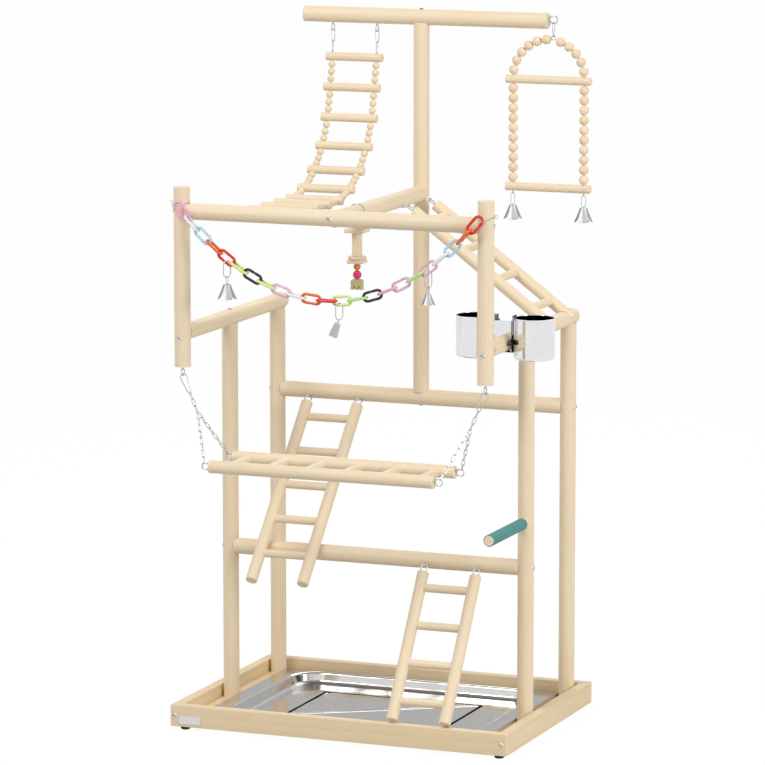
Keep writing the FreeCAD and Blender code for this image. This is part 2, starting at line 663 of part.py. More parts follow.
string_x = {"left": size("bead_ladder_left"), "right": size("bead_ladder_left") + size("bead_ladder_width")}
for side, sign in SIDES:
    fixed_eye(f"string_top_eye_{side}", at(string_x[side], BACK_Y, cross_z - surface), Vector(0, 0, -1), X_AXIS)
    fixed_eye(f"string_low_eye_{side}", at(string_x[side], UPPER_Y + surface, beam_z), Y_AXIS, X_AXIS)
    fixed_eye(f"platform_eye_{side}", at(sign * POST_X, UPPER_Y, upper_low), Vector(0, 0, -1), X_AXIS,
              "small_ring", "long_neck")
fixed_eye("swing_eye", at(size("crossbar_right"), BACK_Y, cross_z + size("end_eye_rise")), X_AXIS, Y_AXIS,
          "swing_ring", "swing_neck")


# ---------------------------------------------------------------- wooden ladders on hooks
def ladder(label, pivot, down, across, length, width, first_rung, pitch, trim=None):
    """Rails, rungs and eyes of one ladder.  The pivot is at the first rail, on its hook."""
    ring_top = pivot + down * EYE_R                 # ring's centre
    top = ring_top + down * (EYE_R + size("eye_wire") / 2 + size("eye_neck"))
    rails = []
    eyes = []
    holes = []
    for number in (0, 1):
        shift = across * (width * number)
        start = top + shift
        rails.append(rounded_rod(f"{label}_rail_{number}", "ladder_rail", start, start + down * length))
        eye, hole, _ = screw_eye(f"{label}_eye_{number}", start, down * -1, down.cross(across))
        eyes.append(eye)
        holes.append(hole)
    rungs = []
    inset = size("ladder_rail") / 2 - size("rung_socket")
    distance = first_rung
    while distance < length - size("ladder_rung"):
        start = top + down * distance + across * inset
        rungs.append(rod(f"{label}_rung_{len(rungs)}", "ladder_rung", start,
                         start + across * (width - 2 * inset)))
        distance += pitch
    sides = grouped(f"{label}_both_rails", rails)
    tools = rungs + holes + ([trim] if trim else [])
    node(f"{label}_rails", cut(f"{label}_bored_rails", sides, tools))
    node(f"{label}_rungs", grouped(f"{label}_all_rungs", rungs))
    node(f"{label}_eyes", grouped(f"{label}_all_eyes", eyes))
    return top


def hooks_for(label, root_face, pivot, out, across, width):
    """Two cup hooks for a ladder; the wood's surface is behind the pivot."""
    neck = abs((pivot - root_face).dot(out)) + size("eye_depth")
    for number in (0, 1):
        spot = pivot + across * (width * number)
        hook, pilot = cup_hook(f"{label}_hook_{number}", root_face, spot, out, Z_AXIS, neck)
        fixed_wires.append(hook)
        wire_pilots.append(pilot)


FORWARD = Vector(0, -1, 0)
hook_y = surface + size("hook_reach")
ladder_width = size("ladder_width")

# The upper ladder hangs on the upper back rail and lies on the low rail.
pivot_a = at(size("ladder_a_left"), BACK_Y - hook_y, back_rail_z + size("ladder_a_hook"))
rest_a = at(size("ladder_a_left"), FRONT_Y, low_rail_z)
reach_a = rest_a - pivot_a
lean_a = math.asin((surface + size("ladder_rail") / 2 + GAP) / reach_a.Length)
down_a = Rotation(X_AXIS, -math.degrees(lean_a)).multVec(unit(reach_a))
ladder("ladder_a", pivot_a, down_a, X_AXIS, size("ladder_a_length"), ladder_width,
       size("ladder_a_first_rung"), size("ladder_a_pitch"))
hooks_for("ladder_a", at(size("ladder_a_left"), BACK_Y - surface, back_rail_z), pivot_a, FORWARD, X_AXIS,
          ladder_width)

# The lower ladder hangs on the low rail and stands on the base's front rail.
pivot_b = at(size("ladder_b_left"), FRONT_Y - hook_y, low_rail_z + size("ladder_b_hook"))
whole_b = 2 * EYE_R + size("eye_wire") / 2 + size("eye_neck") + size("ladder_b_length")
half_rail = size("ladder_rail") / 2
fall_b = pivot_b.z - (BASE_TOP + GAP)
# The rail's lower end is cut square, so its front edge is the lowest point.
slope_b = math.acos(fall_b / math.hypot(whole_b, half_rail)) + math.atan2(half_rail, whole_b)
down_b = Vector(0, -math.sin(slope_b), -math.cos(slope_b))
ladder("ladder_b", pivot_b, down_b, X_AXIS, size("ladder_b_length"), ladder_width,
       size("ladder_b_first_rung"), size("ladder_b_pitch"))
hooks_for("ladder_b", at(size("ladder_b_left"), FRONT_Y - surface, low_rail_z), pivot_b, FORWARD, X_AXIS,
          ladder_width)

# The side ladder hangs beside the centre bar; its lower ends are coped over the right top bar.
back_c = size("ladder_c_back")
pivot_c = at(size("ladder_c_hook_x"), back_c, CENTRE_BAR_Z + size("ladder_c_hook_z"))
bar_c = at(POST_X, back_c, bar_z)
reach_c = bar_c - pivot_c
cope_c = size("ladder_rail") / 2 - 2
rise_c = math.asin(cope_c / reach_c.Length)
down_c = Rotation(Y_AXIS, -math.degrees(rise_c)).multVec(unit(reach_c))
top_gap_c = 2 * EYE_R + size("eye_wire") / 2 + size("eye_neck")
length_c = (bar_c - pivot_c).dot(down_c) - top_gap_c + size("ladder_c_overlap")
cope = doc.addObject("Part::Cylinder", "side_ladder_cope")
cope.setExpression("Radius", "sizes.dowel / 2 + sizes.running_gap")
cope.Height = size("ladder_c_width") * 2
cope.Placement = Placement(at(POST_X, back_c - size("ladder_c_width") * 1.5, bar_z), turned(Y_AXIS))
pitch_c = (length_c - size("ladder_c_first_rung") - size("ladder_c_end")) / (size("ladder_c_rungs") - 1)
ladder("ladder_c", pivot_c, down_c, FORWARD, length_c, size("ladder_c_width"),
       size("ladder_c_first_rung"), pitch_c, cope)
neck_c = pivot_c.x - at(0, 0, 0).x
for number in (0, 1):
    spot = pivot_c + FORWARD * (size("ladder_c_width") * number)
    hook, pilot = cup_hook(f"ladder_c_hook_{number}", spot, spot, X_AXIS, Z_AXIS, neck_c)
    fixed_wires.append(hook)
    wire_pilots.append(pilot)

# ---------------------------------------------------------------- the dowels, coped and bored
ALL_PILOTS = frame_pilots + wire_pilots


def wood(label, piece, neighbours=()):
    """A dowel coped over its neighbours and drilled for the screws and eyes that enter it."""
    doc.recompute()
    box = piece.Shape.BoundBox
    near = [pilot for pilot in ALL_PILOTS if box.intersect(pilot.Shape.BoundBox)]
    tools = list(neighbours) + near
    node(label, cut(label + "_cut", piece, tools) if tools else piece)


for side, sign in SIDES:
    wood(f"front_post_{side}", posts[side, "front"], [bars[side]])
    wood(f"back_post_{side}", posts[side, "back"], [bars[side]])
    wood(f"top_bar_{side}", bars[side], [upper_posts[side]])
    wood(f"upper_post_{side}", upper_posts[side])
wood("upper_back_rail", upper_back_rail, [posts["left", "back"], posts["right", "back"]])
wood("low_rail", low_rail, [posts["left", "front"], posts["right", "front"]])
wood("front_beam", front_beam, [upper_posts["left"], upper_posts["right"]])
wood("centre_bar", centre_bar, [front_beam, mast])
wood("mast", mast, [upper_back_rail, crossbar])
wood("crossbar", crossbar)

# ---------------------------------------------------------------- grit perch
perch_start = at(POST_X, FRONT_Y - COPE, size("perch_height"))
perch_tip = at(POST_X, FRONT_Y - surface - size("perch_length"), size("perch_height"))
perch = rounded_rod("perch", "perch_core", perch_start, perch_tip)
wood("grit_perch_core", perch, [posts["right", "front"]])
sleeve_start = at(POST_X, FRONT_Y - surface - size("perch_bare_root"), size("perch_height"))
sleeve_end = perch_tip + Vector(0, size("perch_bare_end"), 0)
sleeve_bar = rod("sleeve_bar", "perch_sleeve", sleeve_start, sleeve_end)
node("grit_perch_sleeve", cut("sleeve", sleeve_bar, [rod("sleeve_bore", "perch_core", sleeve_start, sleeve_end)]))


# ---------------------------------------------------------------- tray
def rounded_outline(half_width, half_depth, corner, height):
    """A rectangle with round corners, centred on the base, as a wire."""
    edges = []
    corners = [(1, 1), (-1, 1), (-1, -1), (1, -1)]
    points = []
    for index, (sx, sy) in enumerate(corners):
        cx = sx * (half_width - corner)
        cy = sy * (half_depth - corner)
        turn = math.radians(90 * index)
        ends = [at(cx + corner * math.cos(turn + angle), cy + corner * math.sin(turn + angle), height)
                for angle in (0, math.pi / 4, math.pi / 2)]
        points.append(ends)
    for index in range(4):
        edges.append(bend(*points[index]))
        edges.append(straight(points[index][2], points[(index + 1) % 4][0]))
    return Part.Wire(edges)


def tapered(top, low):
    """A solid between two outlines."""
    return Part.makeLoft([low, top], True, True)


metal = size("tray_metal")
flange_x = POST_X - surface - size("tray_side_gap")
flange_y = size("tray_depth") / 2
flange_top = LEDGE_TOP + size("tray_lip")
basin_x = flange_x - size("flange_side")
basin_y = flange_y - size("flange_end")
basin_low = flange_top - size("basin_depth")
draft = size("basin_draft")
corner = size("basin_corner")
lip_corner = 6
pan = tapered(rounded_outline(flange_x, flange_y, lip_corner, flange_top),
              rounded_outline(flange_x, flange_y, lip_corner, LEDGE_TOP))
under = tapered(rounded_outline(flange_x - metal, flange_y - metal, lip_corner - metal, flange_top - metal),
                rounded_outline(flange_x - metal, flange_y - metal, lip_corner - metal, LEDGE_TOP))
outside = tapered(rounded_outline(basin_x + metal, basin_y + metal, corner + metal, flange_top - metal / 2),
                  rounded_outline(basin_x - draft + metal, basin_y - draft + metal, corner - draft + metal,
                                  basin_low))
inside = tapered(rounded_outline(basin_x, basin_y, corner, flange_top),
                 rounded_outline(basin_x - draft, basin_y - draft, corner - draft, basin_low + metal))
panel = tapered(rounded_outline(size("panel_width") / 2, size("panel_depth") / 2, size("panel_corner"),
                                basin_low + metal + size("panel_rise")),
                rounded_outline(size("panel_width") / 2, size("panel_depth") / 2, size("panel_corner"),
                                basin_low + metal / 2))
tray_shape = pan.cut(under).fuse(outside).cut(inside).fuse(panel).removeSplitter()
node("tray", shaped("tray_sheet", tray_shape))


# ---------------------------------------------------------------- cups on their clamp
def cup_body(name, centre_x):
    """A drawn steel cup as a revolved profile."""
    body = doc.addObject("PartDesign::Body", name)
    sketch = body.newObject("Sketcher::SketchObject", name + "_profile")
    plane = [item for item in body.Origin.OriginFeatures if item.Role == "XZ_Plane"][0]
    sketch.AttachmentSupport = [(plane, "")]
    sketch.MapMode = "FlatFace"
    radius = size("cup_diameter") / 2
    wall = size("cup_metal")
    tall = size("cup_height")
    outer = [Vector(0, 0, 0), Vector(radius, 0, 0), Vector(radius, tall, 0), Vector(radius - wall, tall, 0),
             Vector(radius - wall, wall, 0), Vector(0, wall, 0)]
    for index in range(6):
        sketch.addGeometry(Part.LineSegment(outer[index], outer[(index + 1) % 6]), False)
    for index in range(6):
        sketch.addConstraint(Sketcher.Constraint("Coincident", index, 2, (index + 1) % 6, 1))
    for index in (0, 2, 4):
        sketch.addConstraint(Sketcher.Constraint("Horizontal", index))
    for index in (1, 3, 5):
        sketch.addConstraint(Sketcher.Constraint("Vertical", index))
    sketch.addConstraint(Sketcher.Constraint("Coincident", 0, 1, -1, 1))
    for kind, line, value, alias in (("DistanceX", 0, radius, "cup_diameter / 2"),
                                     ("DistanceY", 1, tall, "cup_height")):
        number = sketch.addConstraint(Sketcher.Constraint(kind, line, 1, line, 2, value))
        sketch.setExpression(f"Constraints[{number}]", f"sizes.{alias}")
    number = sketch.addConstraint(Sketcher.Constraint("DistanceX", 2, 2, 2, 1, wall))
    sketch.setExpression(f"Constraints[{number}]", "sizes.cup_metal")
    number = sketch.addConstraint(Sketcher.Constraint("DistanceY", 5, 2, 5, 1, wall))
    sketch.setExpression(f"Constraints[{number}]", "sizes.cup_metal")
    doc.recompute()
    turn = body.newObject("PartDesign::Revolution", name + "_turned")
    turn.Profile = sketch
    turn.ReferenceAxis = (sketch, ["V_Axis"])
    turn.Angle = 360
    body.Tip = turn
    body.Placement = Placement(at(centre_x, CUP_Y, size("cup_rim") - tall), Rotation())
    doc.recompute()
    return body


hanger = size("hanger_metal")
bracket = size("bracket_metal")
half_hanger = size("hanger_width") / 2
cup_radius = size("cup_diameter") / 2
bracket_half = CUP_X - cup_radius - hanger - GAP       # bracket's outer side from the bar's axis
bracket_low = bar_z - surface
bracket_high = bar_z + surface + size("bracket_top")
plate_high = size("cup_rim") + size("hanger_top")
plate_low = size("cup_rim") - size("hanger_low")

for side, sign in SIDES:
    x = POST_X + sign * CUP_X
    cup = cup_body(f"cup_shell_{side}", x)
    # The hanger plate is welded to the cup and its lip hooks over the bracket's side.
    plate_x = POST_X + sign * (bracket_half + GAP)
    weld_width = hanger + size("weld_depth")
    low_x = min(plate_x, plate_x + sign * weld_width)
    weld = Part.makeBox(weld_width, 2 * half_hanger, plate_high - plate_low,
                        at(low_x, CUP_Y - half_hanger, plate_low))
    lip_width = hanger * 2 + bracket + 2 * GAP
    lip_x = min(plate_x + sign * hanger, plate_x + sign * hanger - sign * lip_width)
    lip_low = bracket_high + GAP
    lip = Part.makeBox(lip_width, half_hanger, hanger, at(lip_x, CUP_Y - half_hanger / 2, lip_low))
    tongue_x = plate_x + sign * hanger - sign * lip_width
    tongue_low = min(tongue_x, tongue_x + sign * hanger)
    tongue = Part.makeBox(hanger, half_hanger, size("hook_drop") + GAP + hanger,
                          at(tongue_low, CUP_Y - half_hanger / 2, bracket_high - size("hook_drop")))
    # The plate reaches into the round wall, so the cup keeps its inside clear of it.
    pad = Part.makeBox(4, 2 * half_hanger * 0.8, plate_high - size("hanger_top") - plate_low - 2,
                       at(min(plate_x + sign * hanger, plate_x + sign * (hanger + 4)), CUP_Y - half_hanger * 0.8,
                          plate_low))
    bore = Part.makeCylinder(cup_radius - size("cup_metal") / 2, size("cup_height") * 2,
                             at(x, CUP_Y, size("cup_rim") - size("cup_height") * 1.5))
    strap = shaped(f"cup_hanger_{side}", weld.fuse([lip, tongue, pad.cut(bore)]).removeSplitter())
    node(f"cup_{side}", joined(f"cup_with_hanger_{side}", [cup, strap]))

# The clamp: a bracket over the bar, a strap under it, and a bolt with a wing knob.
bracket_half_length = size("bracket_length") / 2
outer_box = Part.makeBox(2 * bracket_half, 2 * bracket_half_length, bracket_high - bracket_low,
                         at(POST_X - bracket_half, CUP_Y - bracket_half_length, bracket_low))
inner_box = Part.makeBox(2 * (bracket_half - bracket), 2 * bracket_half_length,
                         bracket_high - bracket_low, at(POST_X - bracket_half + bracket,
                                                        CUP_Y - bracket_half_length, bracket_low))
web = Part.makeBox(2 * bracket_half, bracket, size("bracket_top") + surface,
                   at(POST_X - bracket_half, CUP_Y - bracket_half_length, bar_z))
saddle_top = Part.makeBox(2 * bracket_half, 2 * bracket_half_length, bracket,
                          at(POST_X - bracket_half, CUP_Y - bracket_half_length, bar_z + surface))
low_strap = Part.makeBox(2 * bracket_half, 2 * bracket_half_length, size("strap_metal"),
                         at(POST_X - bracket_half, CUP_Y - bracket_half_length,
                            bracket_low - size("strap_metal")))
bar_bore = Part.makeCylinder(surface, 4 * size("knob_reach"), at(POST_X, CUP_Y - 2 * size("knob_reach"), bar_z),
                             Y_AXIS)
# An ear of the bracket's side carries the bolt, whose tip presses on the bar.
bolt_y = at(0, CUP_Y - size("knob_reach"), 0).y
bolt_z = bar_z + size("knob_rise")
bolt_radius = size("bolt_diameter") / 2
ear_half = size("bolt_diameter")
ear_length = size("knob_reach") - bracket_half_length + ear_half
ear = Part.makeBox(bracket, ear_length, 2 * ear_half,
                   at(POST_X + bracket_half - bracket, CUP_Y - bracket_half_length - ear_length, bolt_z - ear_half))
clamp_shape = outer_box.cut(inner_box).fuse([web, saddle_top, low_strap, ear]).cut(bar_bore).removeSplitter()
bolt_start = at(POST_X + surface + GAP, 0, bolt_z)
bolt_start.y = bolt_y
bolt_hole = Part.makeCylinder(bolt_radius, 2 * bracket_half, bolt_start - X_AXIS * bracket_half, X_AXIS)
node("cup_clamp", shaped("clamp", clamp_shape.cut(bolt_hole)))

knob_x = at(POST_X + bracket_half + GAP, 0, 0).x
knob_centre = Vector(knob_x, bolt_y, bolt_z)
thick = size("knob_thickness")
bolt = Part.makeCylinder(bolt_radius - 0.05, knob_x - bolt_start.x + thick / 2, bolt_start, X_AXIS)
hub = Part.makeCylinder(size("knob_height") / 3, thick, knob_centre, X_AXIS)
wings = Part.makeBox(thick * 0.6, size("knob_width"), size("knob_height") / 2,
                     knob_centre + Vector(thick * 0.3, -size("knob_width") / 2, -size("knob_height") / 4))
wings = wings.makeFillet(1.2, wings.Edges)
node("clamp_knob", shaped("knob", hub.fuse([wings, bolt]).removeSplitter()))

# ---------------------------------------------------------------- hanging platform
platform_z = eye_points["platform_eye_left"].z - size("platform_drop")
half_platform = size("platform_length") / 2
platform_rails = []
platform_eyes = []
platform_holes = []
end_eyes = {}
small_r = (size("small_ring") - size("eye_wire")) / 2
for place, sign_y in (("front", -1), ("back", 1)):
    y = UPPER_Y + sign_y * size("platform_width") / 2
    platform_rails.append(rounded_rod(f"platform_rail_{place}", "platform_rail", at(-half_platform, y, platform_z),
                                      at(half_platform, y, platform_z)))
    for side, sign in SIDES:
        eye, hole, centre = screw_eye(f"platform_end_eye_{side}_{place}", at(sign * half_platform, y, platform_z),
                                      Vector(sign, 0, 0), Y_AXIS, "small_ring", "end_neck")
        platform_eyes.append(eye)
        platform_holes.append(hole)
        end_eyes[side, place] = centre
platform_rungs = []
for number in range(6):
    x = (number - 2.5) * size("platform_pitch")
    inset = size("platform_width") / 2 - size("platform_rail") / 2 + size("rung_socket")
    platform_rungs.append(rod(f"platform_rung_{number}", "platform_rung", at(x, UPPER_Y - inset, platform_z),
                              at(x, UPPER_Y + inset, platform_z)))
node("platform_rails", cut("platform_bored", grouped("platform_both", platform_rails),
                           platform_rungs + platform_holes))
node("platform_rungs", grouped("platform_all_rungs", platform_rungs))

# Each side hangs by a snap hook, three links to a fork, and two strands to the eyes.
chain_wire = size("chain_wire")
chain_shape = link_shape(size("chain_length"), size("chain_width"), chain_wire)
chain_step = size("chain_length") - 2 * chain_wire - GAP
snap_wire = size("snap_wire")
platform_links = []
platform_snaps = []
platform_pivots = {}
snap = pear_shape(size("snap_length"), size("snap_width"), size("snap_narrow"), snap_wire)
for side, sign in SIDES:
    eye = eye_points[f"platform_eye_{side}"]
    # The snap hook's wire passes through the eye and hangs on its lowest point.
    eye_low = eye - Vector(0, 0, small_r)
    strands_top = (end_eyes[side, "front"] + end_eyes[side, "back"]) / 2
    toward = unit(Vector(strands_top.x - eye_low.x, 0, strands_top.z - eye_low.z))
    hold = eye_low - toward * (size("eye_wire") / 2 + GAP + snap_wire / 2)
    snap_centre = hold + toward * (size("snap_length") / 2 - snap_wire / 2)
    platform_snaps.append(placed(snap, snap_centre, toward * -1, Y_AXIS))
    platform_pivots[side] = hold
    low_end = hold + toward * (size("snap_length") - snap_wire)
    # Contact points lie on the inner side of the wires that touch.
    chain_start = low_end - toward * (snap_wire / 2 + GAP / 2)
    fork = chain_start + toward * (chain_step * count("chain_top_links"))
    platform_links += chain_between(chain_start, fork, count("chain_top_links"), X_AXIS, chain_shape)
    for place, sign_y in (("front", -1), ("back", 1)):
        eye_end = end_eyes[side, place]
        rise = unit(Vector(fork.x - eye_end.x, 0, fork.z - eye_end.z))
        finish = eye_end + rise * (small_r - size("eye_wire") / 2 - GAP / 2)
        begin = fork + Vector(0, sign_y * (chain_wire / 2 + GAP / 3), 0)
        links = 2 * max(1, int(round((finish - begin).Length / chain_step / 2)))
        platform_links += chain_between(begin, finish, links, Y_AXIS, chain_shape)
hanging = shaped("chains_and_snap_hooks", Part.makeCompound(platform_links + platform_snaps))
node("platform_chains", grouped("platform_metal", [hanging] + platform_eyes))

# ---------------------------------------------------------------- beaded arch swing
swing_eye = eye_points["swing_eye"]
swing_r = (size("swing_ring") - size("eye_wire")) / 2
bead_r = size("swing_bead") / 2
bead_step = size("swing_bead") + size("swing_bead_gap")
perch_r = size("swing_perch") / 2
half_swing = size("swing_width") / 2
beads_down = count("swing_beads")
bead_wire = size("bead_wire")

# Round the arch, the beads stand on a half circle; the loop of the wire fills the gap between them.
arch_first = math.asin((perch_r + size("swing_bead_gap") + bead_r - size("arch_rise")) / half_swing)
arch_step = 2 * math.asin(bead_step / 2 / half_swing)
last_left = math.pi - arch_first - (count("arch_left_beads") - 1) * arch_step
last_right = arch_first + (count("arch_right_beads") - 1) * arch_step
loop_angle = (last_left + last_right) / 2

# Heights follow from the eye down: snap hook, loop, arch, perches.
swing_hold = swing_eye - Vector(0, 0, swing_r - size("eye_wire") / 2 - GAP - snap_wire / 2)
snap_low = swing_hold.z - size("swing_snap_length") + snap_wire
loop_r = (size("swing_loop") + bead_wire) / 2
loop_centre = Vector(swing_eye.x, swing_eye.y, snap_low + snap_wire / 2 + GAP + bead_wire / 2 - loop_r)
arch_centre_z = loop_centre.z - loop_r - half_swing * math.sin(loop_angle)
upper_z = arch_centre_z - size("arch_rise")
column_top = upper_z - perch_r - size("swing_bead_gap") - bead_r
lower_z = column_top - (beads_down - 1) * bead_step - bead_r - size("swing_bead_gap") - perch_r
swing_middle_x = swing_eye.x - half_swing * math.cos(loop_angle)


def swing_at(across, height):
    return Vector(swing_middle_x + across, swing_eye.y, height)


def on_arch(angle):
    return swing_at(half_swing * math.cos(angle), arch_centre_z + half_swing * math.sin(angle))


arch_angles = [math.pi - arch_first - number * arch_step for number in range(count("arch_left_beads"))]
arch_angles += [arch_first + number * arch_step for number in range(count("arch_right_beads"))]
bead_centres = [(on_arch(angle), Vector(math.cos(angle), 0, math.sin(angle))) for angle in arch_angles]
for side, sign in SIDES:
    bead_centres += [(swing_at(sign * half_swing, column_top - number * bead_step), X_AXIS)
                     for number in range(beads_down)]
swing_beads = [ball(f"swing_bead_{number}", "swing_bead", *spot) for number, spot in enumerate(bead_centres)]

half_perch = size("swing_perch_length") / 2
perches = [rounded_rod(f"swing_perch_{label}", "swing_perch", swing_at(-half_perch, height),
                       swing_at(half_perch, height)) for label, height in (("upper", upper_z), ("lower", lower_z))]


def swing_strand(angle, wire):
    """The wire from the lower perch up one column and along the arch to the loop."""
    side = math.cos(angle) / abs(math.cos(angle))
    foot = swing_at(side * half_swing, lower_z - perch_r)
    spring = swing_at(side * half_swing, arch_centre_z)
    start = 0 if side > 0 else math.pi
    return swept([straight(foot, spring), bend(spring, on_arch((start + loop_angle) / 2), on_arch(loop_angle))], wire)


bores = [shaped(f"swing_bore_{label}", swing_strand(angle, bead_wire + 2 * size("pilot_gap")))
         for label, angle in (("left", math.pi), ("right", 0))]
node("swing_beads", cut("swing_bored_beads", grouped("swing_all_beads", swing_beads), bores))
node("swing_perches", cut("swing_bored_perches", grouped("swing_both_perches", perches), bores))
swing_snap = placed(pear_shape(size("swing_snap_length"), size("snap_width"), size("snap_narrow"), snap_wire),
                    swing_hold - Vector(0, 0, size("swing_snap_length") / 2 - snap_wire / 2), Z_AXIS, X_AXIS)
swing_loop = Part.makeTorus(loop_r, bead_wire / 2, loop_centre, Y_AXIS)
swing_wire = swing_loop.fuse([swing_strand(math.pi, bead_wire), swing_strand(0, bead_wire)])
swing_metal = [swing_snap, swing_wire.removeSplitter()]


# ---------------------------------------------------------------- bells
def bell_shape(share, loop_length, loop_width, turn):
    """A bell of four flared petals under its loop; the origin is inside the loop's top."""
    mouth = size("bell_mouth") / 2 * share
    crown = size("bell_top") / 2 * share
    tall = size("bell_height") * share
    wall = size("bell_metal")
    wire = size("bell_wire")
    loop = link_shape(loop_length, loop_width, wire)
    loop.Placement = Placement(Vector(0, 0, -loop_length / 2 + wire), Rotation(Z_AXIS, turn)
                               * Rotation(Vector(0, 0, 1), Vector(0, 1, 0))
                               * Rotation(Z_AXIS, 90))
    top = -loop_length + wire * 1.5
    neck = size("bell_neck")
    crown_z = top - neck
    stem = Part.makeCylinder(wire, neck + wall + 0.5, Vector(0, 0, crown_z - wall - 0.5))
    outer = Part.makeCone(mouth, crown, tall, Vector(0, 0, crown_z - tall))
    inner = Part.makeCone(mouth - wall, crown - wall, tall - wall, Vector(0, 0, crown_z - tall))
    shell = outer.cut(inner)
    slit = size("bell_slit") * share
    cut_height = tall * 0.8
    for angle in (45, 135):
        wedge = Part.makeBox(4 * mouth, slit, cut_height, Vector(-2 * mouth, -slit / 2, crown_z - tall))
        wedge.rotate(Vector(0, 0, 0), Z_AXIS, angle)
        shell = shell.cut(wedge)
    ball_r = size("clapper") / 2 * share
    rod_long = tall - wall + ball_r * 0.2
    clapper_rod = Part.makeCylinder(size("clapper_rod") / 2, rod_long, Vector(0, 0, crown_z - wall - rod_long))
    clapper_ball = Part.makeSphere(ball_r, Vector(0, 0, crown_z - wall - rod_long))
    return shell.fuse([stem, loop, clapper_rod, clapper_ball]).removeSplitter()


# Under the lower perch, small staples carry the bells.
bell_loop = size("swing_bell_loop")
staple_r = size("staple_radius")
staple_wire = size("bell_wire")
bell_pivots = {}
for side, sign in SIDES:
    hang = swing_at(sign * half_swing, lower_z - perch_r)
    staple = Part.makeTorus(staple_r, staple_wire / 2)
    staple_centre = hang - Vector(0, 0, staple_r + staple_wire / 2)
    staple.Placement = Placement(staple_centre, turned(X_AXIS))
    swing_metal.append(staple)
    bell_pivot = staple_centre - Vector(0, 0, staple_r)
    loop_top = bell_pivot + Vector(0, 0, staple_wire / 2 + GAP)
    bell_pivots[side] = loop_top + Vector(0, 0, staple_wire / 2)
    bell = bell_shape(1, bell_loop, size("loop_width"), 0)
    node(f"swing_bell_{side}", shaped(f"swing_bell_piece_{side}", bell,
                                      Placement(loop_top, Rotation())))
node("swing_wire", shaped("swing_metal", Part.makeCompound(swing_metal)))

# ---------------------------------------------------------------- garland of plastic links
link_count = count("garland_links")
link_wire = size("garland_wire")
link_inner = size("garland_length") - 2 * link_wire
link_step = link_inner - GAP
garland_half = POST_X - size("garland_inset")
garland_y = UPPER_Y - size("garland_offset")
garland_z = size("garland_height")


def catenary_scale(half_span, half_length):
    """The parameter a of z = a cosh(x / a) for a hanging line."""
    low, high = half_span / 50, half_span * 50
    for _ in range(80):
        middle = (low + high) / 2
        if middle * math.sinh(min(half_span / middle, 60)) > half_length:
            low = middle
        else:
            high = middle
    return (low + high) / 2


scale = catenary_scale(garland_half, link_count * link_step / 2)


def garland_point(number):
    """The contact point before link number, by arc length along the hanging line."""
    along = (number - link_count / 2) * link_step
    across = scale * math.asinh(along / scale)
    drop = scale * (math.cosh(garland_half / scale) - math.cosh(across / scale))
    return at(across, garland_y, garland_z - drop)


plastic_link = link_shape(size("garland_length"), size("garland_width"), link_wire)
garland = []
for number in range(link_count):
    start, end = garland_point(number), garland_point(number + 1)
    along = unit(end - start)
    normal = Y_AXIS if number % 2 == 0 else unit(along.cross(Y_AXIS))
    garland.append(placed(plastic_link, (start + end) / 2, along, normal))
node("garland_links", shaped("garland", Part.makeCompound(garland)))

# Wire ties hold the first and last links to the upper posts.
ties = []
tie_wire = size("tie_wire")
front_r = link_wire / 2 + tie_wire / 2 + size("tie_play")
arc_r = (size("garland_width") - link_wire) / 2
for side, sign in SIDES:
    # The tie goes round the end link where the link's own wire stands upright.
    end_point = garland_point(0 if sign < 0 else link_count)
    link_mid = garland_point(1 if sign < 0 else link_count - 1)
    outwards = unit(end_point - link_mid)
    arc_centre = (end_point + link_mid) / 2 + outwards * ((size("garland_length") - size("garland_width")) / 2)
    front_centre = arc_centre + X_AXIS * (sign * arc_r)
    # On the post it lies just above the beam, so it slopes down to the link.
    back_centre = at(sign * POST_X, UPPER_Y, beam_z + surface + tie_wire)
    fall = unit(front_centre - back_centre)
    level = math.hypot(fall.x, fall.y)
    post_loop_r = surface / level + tie_wire / 2 + size("pilot_gap")
    ties.append(teardrop(back_centre, post_loop_r, front_centre, front_r, unit(Z_AXIS - fall * fall.z), tie_wire))
    twist_r = (size("tie_loop") - tie_wire) / 2
    twist = Part.makeTorus(twist_r, tie_wire / 2)
    twist.Placement = Placement(back_centre + X_AXIS * (sign * (post_loop_r + twist_r)), turned(Y_AXIS))
    ties.append(twist)
node("garland_ties", shaped("ties", Part.makeCompound(ties)))

# The toys hang on the lowest spot of the links they are clipped to.
ring_length = size("split_ring_length")
ring_width = size("split_ring_width")
bell_wire = size("bell_wire")
ring_shape = link_shape(ring_length, ring_width, bell_wire)


def garland_toy_pivot(number, share):
    """A point on the centre line of a link's lower side bar; share runs along the bar."""
    start, end = garland_point(number), garland_point(number + 1)
    along = unit(end - start)
    below = unit(along.cross(Y_AXIS))
    if below.z > 0:
        below = below * -1
    middle = (start + end) / 2
    return middle + along * share + below * (size("garland_width") / 2 - link_wire / 2), along


def toy_ring(pivot, along, turn):
    """The long ring of a toy, hung round a link's sloping bar, and the point inside its lower end."""
    facing = math.sin(math.radians(turn)) * abs(along.x)
    lift = (link_wire / 2 + GAP + bell_wire / 2) * math.hypot(along.z, facing) / facing
    centre = pivot + Vector(0, 0, lift - ring_length / 2 + bell_wire / 2)
    hung = ring_shape.copy()
    hung.Placement = Placement(centre, Rotation(Z_AXIS, turn) * Rotation(Vector(0, 0, 1), Vector(0, 1, 0))
                               * Rotation(Z_AXIS, 90))
    low = centre - Vector(0, 0, ring_length / 2 - bell_wire)
    return hung, low


